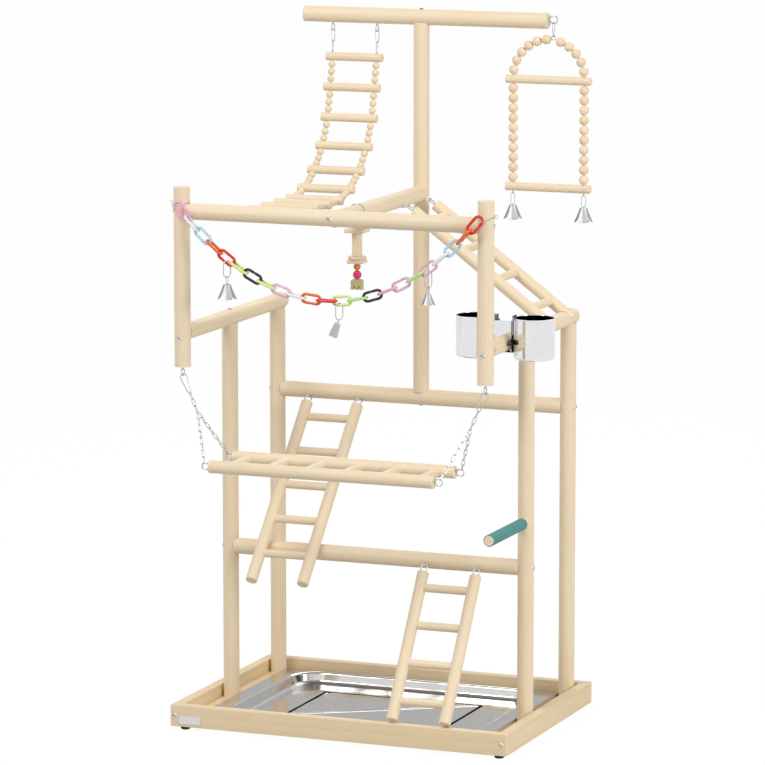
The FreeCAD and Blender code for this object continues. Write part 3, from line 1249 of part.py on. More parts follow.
TOY_LINKS = {"garland_bell": (4, 6), "garland_cowbell": (12, -6), "garland_small_bell": (18, -5)}
toy_pivots = {}
toy_axes = {}
for label, (number, share) in TOY_LINKS.items():
    pivot, along = garland_toy_pivot(number, share)
    toy_pivots[label] = pivot
    toy_axes[label] = along
    hung, low = toy_ring(pivot, along, size("ring_turn"))
    if label == "garland_cowbell":
        flat = Part.makeBox(size("cowbell_width"), size("cowbell_thickness"), size("cowbell_height"),
                            Vector(-size("cowbell_width") / 2, -size("cowbell_thickness") / 2,
                                   -size("cowbell_height") - 2))
        hollow = Part.makeBox(size("cowbell_width") - 2, size("cowbell_thickness") - 2,
                              size("cowbell_height") - 1,
                              Vector(-size("cowbell_width") / 2 + 1, -size("cowbell_thickness") / 2 + 1,
                                     -size("cowbell_height") - 2))
        lug = Part.makeTorus(1.8, 0.6)
        lug.Placement = Placement(Vector(0, 0, -0.6), turned(Y_AXIS))
        body = flat.cut(hollow).fuse(lug).removeSplitter()
        body.Placement = Placement(low, Rotation(Y_AXIS, size("cowbell_tilt")))
        piece = Part.makeCompound([hung, body])
    else:
        portion = 1 if label == "garland_bell" else size("small_bell_share")
        body = bell_shape(portion, size("short_loop_length"), size("short_loop_width"), size("petal_turn"))
        body.Placement = Placement(low + Vector(0, 0, GAP), Rotation())
        piece = Part.makeCompound([hung, body])
    node(label, shaped(label + "_piece", piece))

# ---------------------------------------------------------------- foraging toy under the centre bar
toy_y = UPPER_Y + size("toy_setback")
toy_top = CENTRE_BAR_Z - surface - size("toy_drop")


def square(name, width, height, low):
    side = size(width)
    piece = block(name, f"sizes.{width}", f"sizes.{width}", f"sizes.{height}",
                  at(-side / 2, toy_y - side / 2, low))
    doc.recompute()
    return eased(name + "_eased", piece, range(1, 13), 1)


height = toy_top - size("toy_plate_height")
wood_pieces = [square("toy_top_plate", "toy_plate", "toy_plate_height", height)]
height -= size("toy_spool_height")
wood_pieces.append(rod("toy_spool_rod", "toy_spool", at(0, toy_y, height),
                       at(0, toy_y, height + size("toy_spool_height"))))
height -= size("toy_ring_height")
wood_pieces.append(rounded_rod("toy_wooden_ring", "toy_ring", at(0, toy_y, height),
                               at(0, toy_y, height + size("toy_ring_height"))))
height -= size("toy_low_plate_height")
wood_pieces.append(square("toy_lower_plate", "toy_low_plate", "toy_low_plate_height", height))
small_z = height - size("toy_small_bead") / 2
large_z = small_z - size("toy_small_bead") / 2 - size("toy_large_bead") / 2
block_top = large_z - size("toy_large_bead") / 2
block_low = block_top - size("toy_block_height")
arch_r = size("toy_block_width") * 0.24
arched = Part.makeBox(size("toy_block_width"), size("toy_block_thickness"), size("toy_block_height"),
                      at(-size("toy_block_width") / 2, toy_y - size("toy_block_thickness") / 2, block_low))
arch_cut = Part.makeCylinder(arch_r, size("toy_block_thickness") * 2,
                             at(0, toy_y - size("toy_block_thickness"), block_low + arch_r * 0.8), Y_AXIS)
toy_block = shaped("toy_block", arched.cut(arch_cut))
wire_r = size("toy_wire") / 2
wire_low = block_low + arch_r * 1.8 - 1.5
toy_bore = Part.makeCylinder(wire_r + size("pilot_gap"), toy_top - wire_low, at(0, toy_y, wire_low))
bore = shaped("toy_bore", toy_bore)
node("toy_wood", cut("toy_wood_bored", grouped("toy_wood_parts", wood_pieces + [toy_block]), [bore]))
beads = [ball("toy_orange_bead", "toy_small_bead", at(0, toy_y, small_z)),
         ball("toy_pink_bead", "toy_large_bead", at(0, toy_y, large_z))]
node("toy_beads", cut("toy_beads_bored", grouped("toy_both_beads", beads), [bore]))

# The toy's wire goes round the centre bar and down through every piece to a stop in the block.
toy_pivot = at(0, toy_y, CENTRE_BAR_Z)
toy_small_r = size("toy_eye") / 2 + wire_r
toy_small = at(0, toy_y, toy_top + GAP + wire_r + toy_small_r)
toy_loop = teardrop(toy_pivot, surface + wire_r + GAP, toy_small, toy_small_r, Y_AXIS, 2 * wire_r)
toy_rod = Part.makeCylinder(wire_r, toy_top + GAP + wire_r - wire_low, at(0, toy_y, wire_low))
stopper = Part.makeSphere(2, at(0, toy_y, wire_low - 0.5)).cut(arched.cut(arch_cut))
node("toy_wire", shaped("toy_wire_piece", toy_loop.fuse([toy_rod, stopper]).removeSplitter()))

# ---------------------------------------------------------------- bead ladder
# The ladder is clipped at both ends: a steep run, a round bend, and a flat run to the front beam.
string_wire = size("string_wire")
top_eye = eye_points["string_top_eye_left"]
low_eye = eye_points["string_low_eye_left"]
slope = math.radians(size("string_slope"))
bend_r = size("string_bend")
flat_z = size("string_low_height")
string_start = Vector(0, top_eye.y, top_eye.z - EYE_R)
first_rung = string_start - Vector(0, size("string_top_fall") * math.cos(slope) * 0.3, size("string_top_fall"))
bend_top_z = flat_z + bend_r * (1 - math.cos(slope))
steep_run = (first_rung.z - bend_top_z) / math.sin(slope)
bend_top_y = first_rung.y - steep_run * math.cos(slope)
flat_y = bend_top_y - bend_r * math.sin(slope)


def on_string(distance):
    """The point and the downward direction of the string, by length from the first rung."""
    if distance <= steep_run:
        heading = Vector(0, -math.cos(slope), -math.sin(slope))
        return first_rung + heading * distance, heading
    turn = (distance - steep_run) / bend_r
    if turn < slope:
        left = slope - turn
        point = Vector(0, flat_y + bend_r * math.sin(left), flat_z + bend_r * (1 - math.cos(left)))
        return point, Vector(0, -math.cos(left), -math.sin(left))
    rest = distance - steep_run - bend_r * slope
    return Vector(0, flat_y - rest, flat_z), Vector(0, -1, 0)


string_beads = 3
rung_r = size("bead_rung") / 2
small_bead = size("bead")
string_pitch = 2 * rung_r + string_beads * small_bead + (string_beads + 1) * size("string_gap")
string_sides = (at(string_x["left"], 0, 0).x, at(string_x["right"], 0, 0).x)
string_middle = sum(string_sides) / 2
sections = (("upper", 0, 4), ("middle", 4, 7), ("lower", 7, count("string_rungs")))
string_pivots = []
for label, first, last in sections:
    parts = []
    for number in range(first, last):
        centre, _ = on_string(number * string_pitch)
        half = size("bead_rung_length") / 2
        parts.append(rounded_rod(f"string_rung_{number}", "bead_rung", centre + Vector(string_middle - half, 0, 0),
                                 centre + Vector(string_middle + half, 0, 0)))
        if number + 1 == count("string_rungs"):
            continue
        for spot in range(string_beads):
            along = number * string_pitch + rung_r + (spot + 0.5) * small_bead + (spot + 1) * size("string_gap")
            centre, _ = on_string(along)
            for side, x in zip("ab", string_sides):
                parts.append(ball(f"string_bead_{number}_{spot}_{side}", "bead", centre + Vector(x, 0, 0)))
    if last < count("string_rungs"):
        pivot, _ = on_string(last * string_pitch - rung_r - size("string_gap") / 2)
        string_pivots.append(pivot)
    node(f"string_ladder_{label}", grouped(f"string_{label}_parts", parts))

string_snap = pear_shape(size("string_snap_length"), size("string_snap_width"), size("string_snap_width") * 0.7,
                         string_wire)
touch = size("eye_wire") / 2 + GAP + string_wire / 2
link_to_link = string_wire + GAP
upper_metal = []
lower_metal = []
last_rung, _ = on_string((count("string_rungs") - 1) * string_pitch)
for x in string_sides:
    shift = Vector(x, 0, 0)
    # At the top: a snap hook in the eye, a long link, and the first rung under it.
    hold = string_start + shift + Vector(0, 0, touch)
    upper_metal.append(placed(string_snap, hold - Vector(0, 0, (size("string_snap_length") - string_wire) / 2),
                              Z_AXIS, Y_AXIS))
    link_top = hold - Vector(0, 0, size("string_snap_length") - string_wire - link_to_link)
    rung_top = first_rung + shift + Vector(0, 0, rung_r)
    run = link_top - rung_top
    reach = string_wire / 2 - size("pilot_gap")
    long_link = link_shape(run.Length + reach, size("string_link_width"), string_wire)
    away = unit(run) * ((string_wire / 2 + size("pilot_gap")) / 2)
    upper_metal.append(placed(long_link, (link_top + rung_top) / 2 + away, unit(run), X_AXIS))
    # At the bottom: a snap hook between the last rung and the eye behind the front beam.
    low_hold = Vector(x, low_eye.y + EYE_R - touch - size("open_pivot_play"), low_eye.z)
    rung_front = last_rung + shift - Vector(0, rung_r, 0)
    run = rung_front - low_hold
    low_snap = pear_shape(run.Length + reach, size("string_snap_width"), size("string_snap_width") * 0.7,
                          string_wire)
    away = unit(run) * ((string_wire / 2 + size("pilot_gap")) / 2)
    lower_metal.append(placed(low_snap, (low_hold + rung_front) / 2 - away, unit(run) * -1,
                              unit(unit(run).cross(X_AXIS))))
node("string_hooks_upper", shaped("string_upper_metal", Part.makeCompound(upper_metal)))
node("string_hooks_lower", shaped("string_lower_metal", Part.makeCompound(lower_metal)))
node("screw_eyes", grouped("all_fixed_wires", fixed_wires))

# ---------------------------------------------------------------- checks and export
doc.recompute()
for item in doc.Objects:
    if "Invalid" in item.State or "Error" in item.State:
        raise RuntimeError(f"{item.Name} failed: {item.State}")
for label, piece in NODES.items():
    if piece.Shape.isNull() or not piece.Shape.isValid():
        raise RuntimeError(f"{label} has no valid shape")
    piece.Shape.exportStep(f"parts/{label}.step")
print(len(NODES), "sub-parts written")

# Where the moving pieces turn, in the frame of the exported shapes.
PIVOTS = {
    "ladder_a": pivot_a, "ladder_b": pivot_b, "ladder_c": pivot_c, "platform": platform_pivots["left"],
    "swing": swing_eye - Vector(0, 0, swing_r), "knob": knob_centre, "garland": front_centre, "toy": toy_pivot,
    "string_top": string_start + Vector(0, 0, touch), "string_bend_1": string_pivots[0],
    "string_bend_2": string_pivots[1], "string_low": low_hold,
}
PIVOTS.update(toy_pivots)
PIVOTS.update({label + "_axis": along for label, along in toy_axes.items()})
PIVOTS.update({f"swing_bell_{side}": point for side, point in bell_pivots.items()})
for name, point in PIVOTS.items():
    print(f"pivot {name}: {point.x:.6f} {point.y:.6f} {point.z:.6f}")
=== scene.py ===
# %% [markdown]
# A perch stand for parrots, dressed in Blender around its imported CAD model.
# The CAD model gives every size and place. This file adds the finishes, and it
# models again those pieces whose real form is softer or richer than the solid.

# %% Load the CAD model as the frame
import math

import bmesh
import bpy
import numpy as np
from mathutils import Matrix, Vector, noise


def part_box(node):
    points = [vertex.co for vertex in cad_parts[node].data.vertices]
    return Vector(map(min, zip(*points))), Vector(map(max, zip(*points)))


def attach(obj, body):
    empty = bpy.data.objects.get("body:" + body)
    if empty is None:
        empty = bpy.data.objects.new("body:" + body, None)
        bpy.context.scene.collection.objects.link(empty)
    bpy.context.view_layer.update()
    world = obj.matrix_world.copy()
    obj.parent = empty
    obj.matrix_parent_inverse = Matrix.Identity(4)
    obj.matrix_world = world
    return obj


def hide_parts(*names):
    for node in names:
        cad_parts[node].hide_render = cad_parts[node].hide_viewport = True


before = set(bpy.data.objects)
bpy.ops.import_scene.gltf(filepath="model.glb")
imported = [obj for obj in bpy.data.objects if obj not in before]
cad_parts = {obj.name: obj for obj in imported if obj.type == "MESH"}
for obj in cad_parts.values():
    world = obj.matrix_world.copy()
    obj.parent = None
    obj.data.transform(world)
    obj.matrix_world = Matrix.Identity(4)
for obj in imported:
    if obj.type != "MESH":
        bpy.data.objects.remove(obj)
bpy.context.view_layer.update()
scene = bpy.context.scene
MM = 0.001

# %% [markdown]
# The camera stands where the photographer stood, a little to the right of the
# middle and slightly above the stand. A long lens flattens the view, so the posts
# look upright and parallel. A camera looks along its own -Z axis, so its matrix is
# built from three directions: right, up and back.

# %% Camera
LENS_BACK = Vector((0.36352, -0.91819, 0.15740)).normalized()
LENS_RIGHT = Vector((0.92979, 0.36809, 0.0)).normalized()
LENS_UP = LENS_BACK.cross(LENS_RIGHT)
LENS_PLACE = Vector((2.91928, -7.40654, 1.87242))
camera_data = bpy.data.cameras.new("portrait_lens")
camera_data.lens = 220.05
camera_data.sensor_width = 36
camera_data.clip_end = 60
camera = bpy.data.objects.new("camera", camera_data)
camera.matrix_world = Matrix.Translation(LENS_PLACE) @ Matrix(
    (LENS_RIGHT, LENS_UP, LENS_BACK)).transposed().to_4x4()
scene.collection.objects.link(camera)
scene.camera = camera
print("the camera stands", round(camera.location.length, 2), "m from the stand")

# %% [markdown]
# A product photograph is lit from all round, so that wood shows its colour and
# metal shows a bright room. The world gives an even light. Large soft lamps add
# direction: one from the upper left in front, and weaker ones at the right and the
# back. Blender's Standard view shows a colour about as it is written.


# %% World and lamps
STAND_MIDDLE = Vector((0, 0, 0.6))


def soft_lamp(name, place, width, power):
    """A square area lamp that looks at the middle of the stand."""
    data = bpy.data.lights.new(name, "AREA")
    data.shape = "SQUARE"
    data.size = width
    data.energy = power
    lamp = bpy.data.objects.new(name, data)
    lamp.location = place
    lamp.rotation_euler = (STAND_MIDDLE - Vector(place)).to_track_quat("-Z", "Y").to_euler()
    scene.collection.objects.link(lamp)


scene.view_settings.view_transform = "Standard"
soft_lamp("key_lamp", (-1.3, -2.4, 3.7), 1.6, 76)
soft_lamp("side_lamp", (3.4, -1.0, 1.6), 1.6, 58)
soft_lamp("back_lamp", (-0.6, 3.0, 2.8), 1.8, 26)

# %% [markdown]
# Shader maths reads best as plain arithmetic. A small class wraps a socket and
# turns +, -, * and / into Math nodes. A second class holds a node tree, and its
# method `add` makes any node: settings first, then the sockets' values or links.
# A third builds one material on top of it, with noise, colours and bumps.


# %% Sockets as numbers, and a builder for materials
class Flow:
    """A socket that takes part in Python arithmetic."""

    def __init__(self, graph, socket):
        self.graph = graph
        self.socket = socket

    def maths(self, operation, first, second=0.0):
        return self.graph.add("ShaderNodeMath", {"operation": operation}, {0: first, 1: second})

    def __add__(self, other):
        return self.maths("ADD", self, other)

    def __sub__(self, other):
        return self.maths("SUBTRACT", self, other)

    def __rsub__(self, other):
        return self.maths("SUBTRACT", other, self)

    def __mul__(self, other):
        return self.maths("MULTIPLY", self, other)

    def __truediv__(self, other):
        return self.maths("DIVIDE", self, other)

    def __gt__(self, other):
        return self.maths("GREATER_THAN", self, other)

    def power(self, other):
        return self.maths("POWER", self, other)

    def fraction(self):
        return self.maths("FRACT", self)

    __radd__ = __add__
    __rmul__ = __mul__


class Graph:
    """A node tree, with a method that adds any node."""

    def __init__(self, tree):
        self.tree = tree
        self.nodes = tree.nodes

    def add(self, kind, settings=None, links=None, out=0):
        node = self.nodes.new(kind)
        for name, value in (settings or {}).items():
            if name == "stops":
                self.fill_ramp(node.color_ramp, value)
            else:
                setattr(node, name, value)
        for key, value in (links or {}).items():
            self.feed(node.inputs[key], value)
        return Flow(self, node.outputs[out])

    def fill_ramp(self, ramp, stops):
        while len(ramp.elements) < len(stops):
            ramp.elements.new(1.0)
        for element, (place, grey) in zip(ramp.elements, stops):
            element.position = place
            element.color = (grey, grey, grey, 1)

    def feed(self, socket, value):
        if isinstance(value, Flow):
            self.tree.links.new(value.socket, socket)
        else:
            socket.default_value = value

    def ramp(self, value, *stops):
        """A curve of greys through stops of (place, grey)."""
        return self.add("ShaderNodeValToRGB", {"stops": stops}, {"Fac": value})

    def parts(self, vector):
        """The x, y and z of a vector."""
        split = self.add("ShaderNodeSeparateXYZ", links={0: vector}).socket.node
        return [Flow(self, socket) for socket in split.outputs]

    def ray(self, kind):
        """1 for rays of a kind, such as Camera or Glossy, and 0 for the others."""
        return self.add("ShaderNodeLightPath", out=f"Is {kind} Ray")


class Finish(Graph):
    """One material and its shader."""

    def __init__(self, name, **fixed):
        self.material = bpy.data.materials.new(name)
        self.material.use_nodes = True
        super().__init__(self.material.node_tree)
        self.shader = self.nodes["Principled BSDF"]
        self.set(**fixed)

    def set(self, **values):
        """Feeds the shader's sockets; a name's underscores stand for spaces."""
        for name, value in values.items():
            self.feed(self.shader.inputs[name.replace("_", " ")], value)

    def place(self, scale=(1, 1, 1), turn=(0, 0, 0), shift=(0, 0, 0)):
        """Object coordinates in metres, turned and moved, then scaled."""
        spot = self.add("ShaderNodeTexCoord", out="Object")
        turned = self.add("ShaderNodeMapping", {"vector_type": "POINT"},
                          {"Vector": spot, "Location": shift, "Rotation": turn})
        return self.add("ShaderNodeVectorMath", {"operation": "MULTIPLY"}, {0: turned, 1: scale})

    def cloud(self, where, detail=2.0, roughness=0.5, scale=1.0):
        """Soft noise from 0 to 1."""
        return self.add("ShaderNodeTexNoise", links={
            "Vector": where, "Scale": scale, "Detail": detail, "Roughness": roughness})

    def grains(self, density, detail, roughness=0.5):
        """Noise that is alike in all directions; density is its spots to the metre."""
        return self.cloud(self.place(scale=(density, density, density)), detail, roughness)

    def blend(self, share, first, second):
        """A colour between two others."""
        return self.add("ShaderNodeMix", {"data_type": "RGBA"},
                        {0: share, 6: first, 7: second}, out=2)

    def bump(self, height, depth, strength=1.0):
        """A normal bent by a height from 0 to 1; depth is in metres."""
        return self.add("ShaderNodeBump", links={
            "Height": height, "Distance": depth, "Strength": strength})


def linear(part):
    """One part of a screen colour, 0 to 255, as a linear value."""
    if part > 10:
        return ((part / 255 + 0.055) / 1.055) ** 2.4
    return part / 3294.6


def shade(red, green, blue):
    """A colour written as on a screen, in Blender's linear values."""
    return (linear(red), linear(green), linear(blue), 1.0)


def dimmed(colour, share):
    """A colour whose light is cut to a share."""
    return (*(part * share for part in colour[:3]), 1.0)


print("a pale wood in linear values:", [round(part, 3) for part in shade(232, 216, 188)])

# %% [markdown]
# A studio floor is one white sheet that runs up behind the object. Here the floor
# and the world look white to the camera and to mirrors, through Light Path, while
# the light that they throw on the stand stays modest. Part of the floor's colour is
# a plain white diffuse, which keeps the soft contact shadow. Bright metal needs
# something dark to mirror too: the studio that it sees has a grey band at the horizon,
# a dark ceiling and two dark uprights.

# %% Floor and white surroundings
AMBIENT = 0.55
FLOOR_GLOW = 1.03
SHADOW_KEPT = 0.06
FLOOR_HALF = 20
WHITE = (1.0, 1.0, 1.0, 1.0)

world = bpy.data.worlds.new("studio")
world.use_nodes = True
scene.world = world
studio = Graph(world.node_tree)
x, _, z = studio.parts(studio.add("ShaderNodeTexCoord", out="Generated"))
bands = studio.ramp(z * 0.5 + 0.5, (0.0, 0.9), (0.5, 0.7), (0.53, 0.55), (0.7, 0.55),
                    (0.78, 1.0), (0.86, 1.0), (0.94, 0.2))
uprights = studio.ramp(x * 0.5 + 0.5, (0.03, 1.0), (0.06, 0.04), (0.12, 0.04), (0.16, 1.0),
                       (0.86, 1.0), (0.9, 0.1), (0.93, 0.1), (0.97, 1.0))
seen = studio.ray("Camera") + studio.ray("Transmission")
mirrored = studio.ray("Glossy")
background = studio.nodes["Background"].inputs
studio.feed(background["Color"], WHITE)
studio.feed(background["Strength"],
            seen + mirrored * bands * uprights + (1 - seen - mirrored) * AMBIENT)

floor_finish = Finish("studio_floor", Base_Color=(0.56, 0.56, 0.56, 1), Roughness=0.9)
glow = floor_finish.add("ShaderNodeEmission", links={"Color": WHITE, "Strength": FLOOR_GLOW})
glowing = (floor_finish.ray("Camera") + floor_finish.ray("Glossy")) * (1 - SHADOW_KEPT)
plain = Flow(floor_finish, floor_finish.shader.outputs[0])
mixed = floor_finish.add("ShaderNodeMixShader", links={0: glowing, 1: plain, 2: glow})
floor_finish.feed(floor_finish.nodes["Material Output"].inputs["Surface"], mixed)

sheet = bmesh.new()
bmesh.ops.create_grid(sheet, x_segments=1, y_segments=1, size=FLOOR_HALF)
floor_mesh = bpy.data.meshes.new("floor")
sheet.to_mesh(floor_mesh)
sheet.free()
floor = bpy.data.objects.new("floor", floor_mesh)
floor_mesh.materials.append(floor_finish.material)
scene.collection.objects.link(floor)

# %% [markdown]
# Pale softwood is never one flat colour. A log grows in rings, and a dowel cut from
# it shows them as faint lines along its length and as arcs on its ends. A texture
# that fills space does both at once: the distance to the log's heart, bent by noise,
# makes the rings. Fine noise that is stretched along the grain makes the fibres.


# %% Wood
LOG_HEART = (0.71, 0.53, 0)
LOG_SWAY = 14 * MM
POST_LIGHT, POST_DARK = shade(241, 225, 197), shade(212, 184, 142)
BOARD_LIGHT, BOARD_DARK = shade(236, 216, 181), shade(207, 176, 128)
BOARD_RINGS, BOARD_CONTRAST = 15 * MM, 0.3


def along(direction):
    """The turn that lays a direction on Z."""
    return Vector(direction).rotation_difference(Vector((0, 0, 1))).to_euler()


def wood(name, direction, light, dark, ring_gap=3.6 * MM, contrast=0.36):
    """Sanded, unvarnished softwood with its grain along a direction."""
    finish = Finish(name, Specular_IOR_Level=0.3)
    turn = along(direction)
    sway = finish.cloud(finish.place(scale=(7, 7, 1.3), turn=turn))
    across, depth, _ = finish.parts(finish.place(turn=turn, shift=LOG_HEART))
    across = across + (sway - 0.5) * LOG_SWAY
    heart = (across * across + depth * depth).power(0.5)
    rings = finish.ramp((heart / ring_gap).fraction(),
                        (0.0, 0.0), (0.55, 0.25), (0.88, 1.0), (1.0, 0.0))
    fibres = finish.ramp(finish.cloud(finish.place(scale=(420, 420, 9), turn=turn), 3.0, 0.6),
                         (0.42, 0.0), (0.72, 1.0))
    tone = finish.cloud(finish.place(scale=(9, 9, 1.6), turn=turn))
    pale = finish.blend(tone, light, tuple(0.65 * a + 0.35 * b for a, b in zip(light, dark)))
    mark = (rings * 0.55 + fibres * 0.45) * contrast
    finish.set(Base_Color=finish.blend(mark, pale, dark), Roughness=0.52 + fibres * 0.16,
               Normal=finish.bump(fibres + rings * 0.6, 0.12 * MM, 0.35))
    return finish.material


def rails_run(node):
    """The direction of a ladder's rails, from the spread of its points."""
    points = np.array([vertex.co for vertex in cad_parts[node].data.vertices])
    return Vector(np.linalg.svd(points - points.mean(0), full_matrices=False)[2][0])


def dress(nodes, material):
    """Gives CAD nodes one material."""
    for node in nodes:
        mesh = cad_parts[node].data
        mesh.materials.clear()
        mesh.materials.append(material)


upright = wood("dowel_upright", (0, 0, 1), POST_LIGHT, POST_DARK)
sideways = wood("dowel_sideways", (1, 0, 0), POST_LIGHT, POST_DARK)
lengthways = wood("dowel_lengthways", (0, 1, 0), POST_LIGHT, POST_DARK)
dress(["front_post_left", "front_post_right", "back_post_left", "back_post_right",
       "upper_post_left", "upper_post_right", "mast"], upright)
dress(["front_beam", "upper_back_rail", "low_rail", "crossbar", "platform_rails", "swing_perches",
       "ladder_a_rungs", "ladder_b_rungs", "string_ladder_upper", "string_ladder_middle",
       "string_ladder_lower"], sideways)
dress(["top_bar_left", "top_bar_right", "centre_bar", "grit_perch_core", "platform_rungs",
       "ladder_c_rungs"], lengthways)
for ladder in "abc":
    rails = f"ladder_{ladder}_rails"
    dress([rails], wood(f"ladder_{ladder}_grain", rails_run(rails), POST_LIGHT, POST_DARK))
dress(["base_front_rail", "base_back_rail"],
      wood("board_sideways", (1, 0, 0), BOARD_LIGHT, BOARD_DARK, BOARD_RINGS, BOARD_CONTRAST))
dress(["base_left_rail", "base_right_rail", "tray_ledges"],
      wood("board_lengthways", (0, 1, 0), BOARD_LIGHT, BOARD_DARK, BOARD_RINGS, BOARD_CONTRAST))
print("the upper ladder's grain runs along",
      [round(part, 2) for part in rails_run("ladder_a_rails")])

# %% [markdown]
# Wire, screws and sheet steel are all bright metal, and differ in how smooth they
# are. A mirror shows its room and hardly a colour of its own, so its roughness is
# small and uneven: faint noise stands for wipe marks and the rolling of the sheet.


# %% Metals
def metal(name, tint, smooth, worn, density, waves=0.0, wave_size=1.0):
    """Bare metal; smooth and worn are the least and greatest roughness."""
    finish = Finish(name, Metallic=1.0)
    wear = finish.grains(density, 3.0, 0.65)
    finish.set(Base_Color=finish.blend(wear, tint, dimmed(tint, 0.86)),
               Roughness=smooth + wear * (worn - smooth))
    if waves:
        swell = finish.cloud(finish.place(), 1.0, scale=wave_size)
        finish.set(Normal=finish.bump(swell, waves))
    return finish.material


wire_metal = metal("bright_wire", (0.62, 0.62, 0.64, 1), 0.16, 0.32, 900)
screw_metal = metal("zinc_screw", (0.62, 0.62, 0.64, 1), 0.22, 0.42, 700)
mirror_metal = metal("mirror_steel", (0.83, 0.845, 0.86, 1), 0.015, 0.05, 40, 0.1 * MM, 14.0)
# Painted shade: a near-black steel that paints the shade inside the cups and on the hanger and
# clamp faces that look into the dark between them.
painted_shade_metal = metal("painted_shade_steel", (0.03, 0.03, 0.032, 1), 0.10, 0.2, 60)
tray_metal = metal("pressed_steel", (0.72, 0.71, 0.695, 1), 0.09, 0.17, 30, 0.35 * MM, 5.0)
bell_metal = metal("nickel_sheet", (0.60, 0.60, 0.615, 1), 0.46, 0.6, 300)
dress(["screw_eyes", "ladder_a_eyes", "ladder_b_eyes", "ladder_c_eyes", "platform_chains",
       "swing_wire", "toy_wire", "string_hooks_upper", "string_hooks_lower", "garland_ties"],
      wire_metal)
dress(["screws"], screw_metal)

# %% [markdown]
# New pieces start as a bmesh, Blender's editable mesh. Each is shaped by operators,
# then settled: doubles are merged, faces are turned outwards, and edges sharper than
# a limit stay sharp. The rest is shaded smoothly, led by the large flat faces, and a
# panel of many sides is shaded flat. A piece rides on a CAD body and may stand for
# CAD nodes, which then aren't drawn.

# %% Settling a mesh into a piece
WELD = 0.002 * MM
CAD_WELD = 0.001 * MM
PANEL_SIDES = 8


def weld(shape, distance=WELD):
    """Merges points that lie together."""
    bmesh.ops.remove_doubles(shape, verts=shape.verts, dist=distance)


def settle(shape, name, body, materials, nodes=(), sharp=32):
    """Makes a bmesh a finished piece at the origin; sharp is an angle in degrees."""
    weld(shape)
    bmesh.ops.recalc_face_normals(shape, faces=shape.faces)
    for edge in shape.edges:
        angle = edge.calc_face_angle(0.0)
        edge.smooth = len(edge.link_faces) == 2 and angle < math.radians(sharp)
    for face in shape.faces:
        face.smooth = len(face.verts) < PANEL_SIDES
    mesh = bpy.data.meshes.new(name)
    shape.to_mesh(mesh)
    shape.free()
    for material in materials:
        mesh.materials.append(material)
    piece = bpy.data.objects.new(name, mesh)
    scene.collection.objects.link(piece)
    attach(piece, body)
    if nodes:
        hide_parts(*nodes)
    weighted = piece.modifiers.new("flat_faces_lead", "WEIGHTED_NORMAL")
    weighted.keep_sharp = True
    print(name, "has", len(mesh.polygons), "faces")


def in_mm(*points):
    """Profile points written in millimetres, in metres."""
    return [(radius * MM, height * MM) for radius, height in points]


def spin_profile(shape, profile, centre, steps=48, axis=(0, 0, 1), side=(1, 0, 0)):
    """Turns a line of (radius, height) points about an axis."""
    up, out, hub = Vector(axis).normalized(), Vector(side).normalized(), Vector(centre)
    line = [shape.verts.new(hub + out * radius + up * height) for radius, height in profile]
    edges = [shape.edges.new(pair) for pair in zip(line, line[1:])]
    bmesh.ops.spin(shape, geom=line + edges, cent=hub, axis=up, angle=math.tau, steps=steps,
                   use_merge=True)
    weld(shape)


def soften(shape, edges, width, segments=3):
    """Rounds edges."""
    bmesh.ops.bevel(shape, geom=list(edges), offset=width, segments=segments, profile=0.5,
                    affect="EDGES", material=-1, clamp_overlap=True)


def ring_edges(shape, radius, height, centre):
    """The edges of one ring round an upright axis."""
    hub = Vector(centre)
    near = 0.05 * MM

    def on_ring(vertex):
        out = (vertex.co - hub).to_2d().length
        return abs(out - radius) < near and abs(vertex.co.z - hub.z - height) < near

    return [edge for edge in shape.edges if all(on_ring(vertex) for vertex in edge.verts)]


def slab(shape, low, high, rounding):
    """A box between two corners with eased edges."""
    low, high = Vector(low), Vector(high)
    made = bmesh.ops.create_cube(shape, size=1.0)["verts"]
    bmesh.ops.scale(shape, verts=made, vec=high - low)
    bmesh.ops.translate(shape, verts=made, vec=(low + high) / 2)
    soften(shape, dict.fromkeys(edge for vertex in made for edge in vertex.link_edges), rounding)


def solids(node):
    """The separate solids of a CAD node, each as an array of points."""
    copy = bmesh.new()
    copy.from_mesh(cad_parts[node].data)
    weld(copy, CAD_WELD)
    copy.verts.ensure_lookup_table()
    copy.verts.index_update()
    found, left = [], set(range(len(copy.verts)))
    while left:
        group, front = [], [left.pop()]
        while front:
            vertex = copy.verts[front.pop()]
            group.append(list(vertex.co))
            for edge in vertex.link_edges:
                other = edge.other_vert(vertex).index
                if other in left:
                    left.remove(other)
                    front.append(other)
        found.append(np.array(group))
    copy.free()
    return found


def middle_of(points):
    """The middle of a solid's box."""
    return Vector((points.min(0) + points.max(0)) / 2)


def foot_of(low, high):
    """The middle of a box's underside."""
    return Vector(((low.x + high.x) / 2, (low.y + high.y) / 2, low.z))


# %% [markdown]
# The tray is one pressed sheet. Each step of the pressing is a rectangle with round
# corners at its own height: the turned-down lip, the flange, the basin's rim, the
# basin's floor and the raised panel with a pressed line inside it. Neighbouring
# outlines are bridged with faces, the folds are rounded, and the sheet gets its
# thickness.

# %% Tray
tray_low, tray_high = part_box("tray")
tray_middle = (tray_low + tray_high) / 2
tray_half = (tray_high - tray_low) / 2
SHEET = 1.0 * MM
LIP = 7 * MM
FLANGE_X, FLANGE_Y = 31 * MM, 11 * MM
BASIN_SLOPE = 8 * MM
PANEL_X, PANEL_Y = 168 * MM, 118 * MM
CORNER_STEPS = 12
basin_x, basin_y = tray_half.x - FLANGE_X, tray_half.y - FLANGE_Y
floor_z = tray_low.z + SHEET
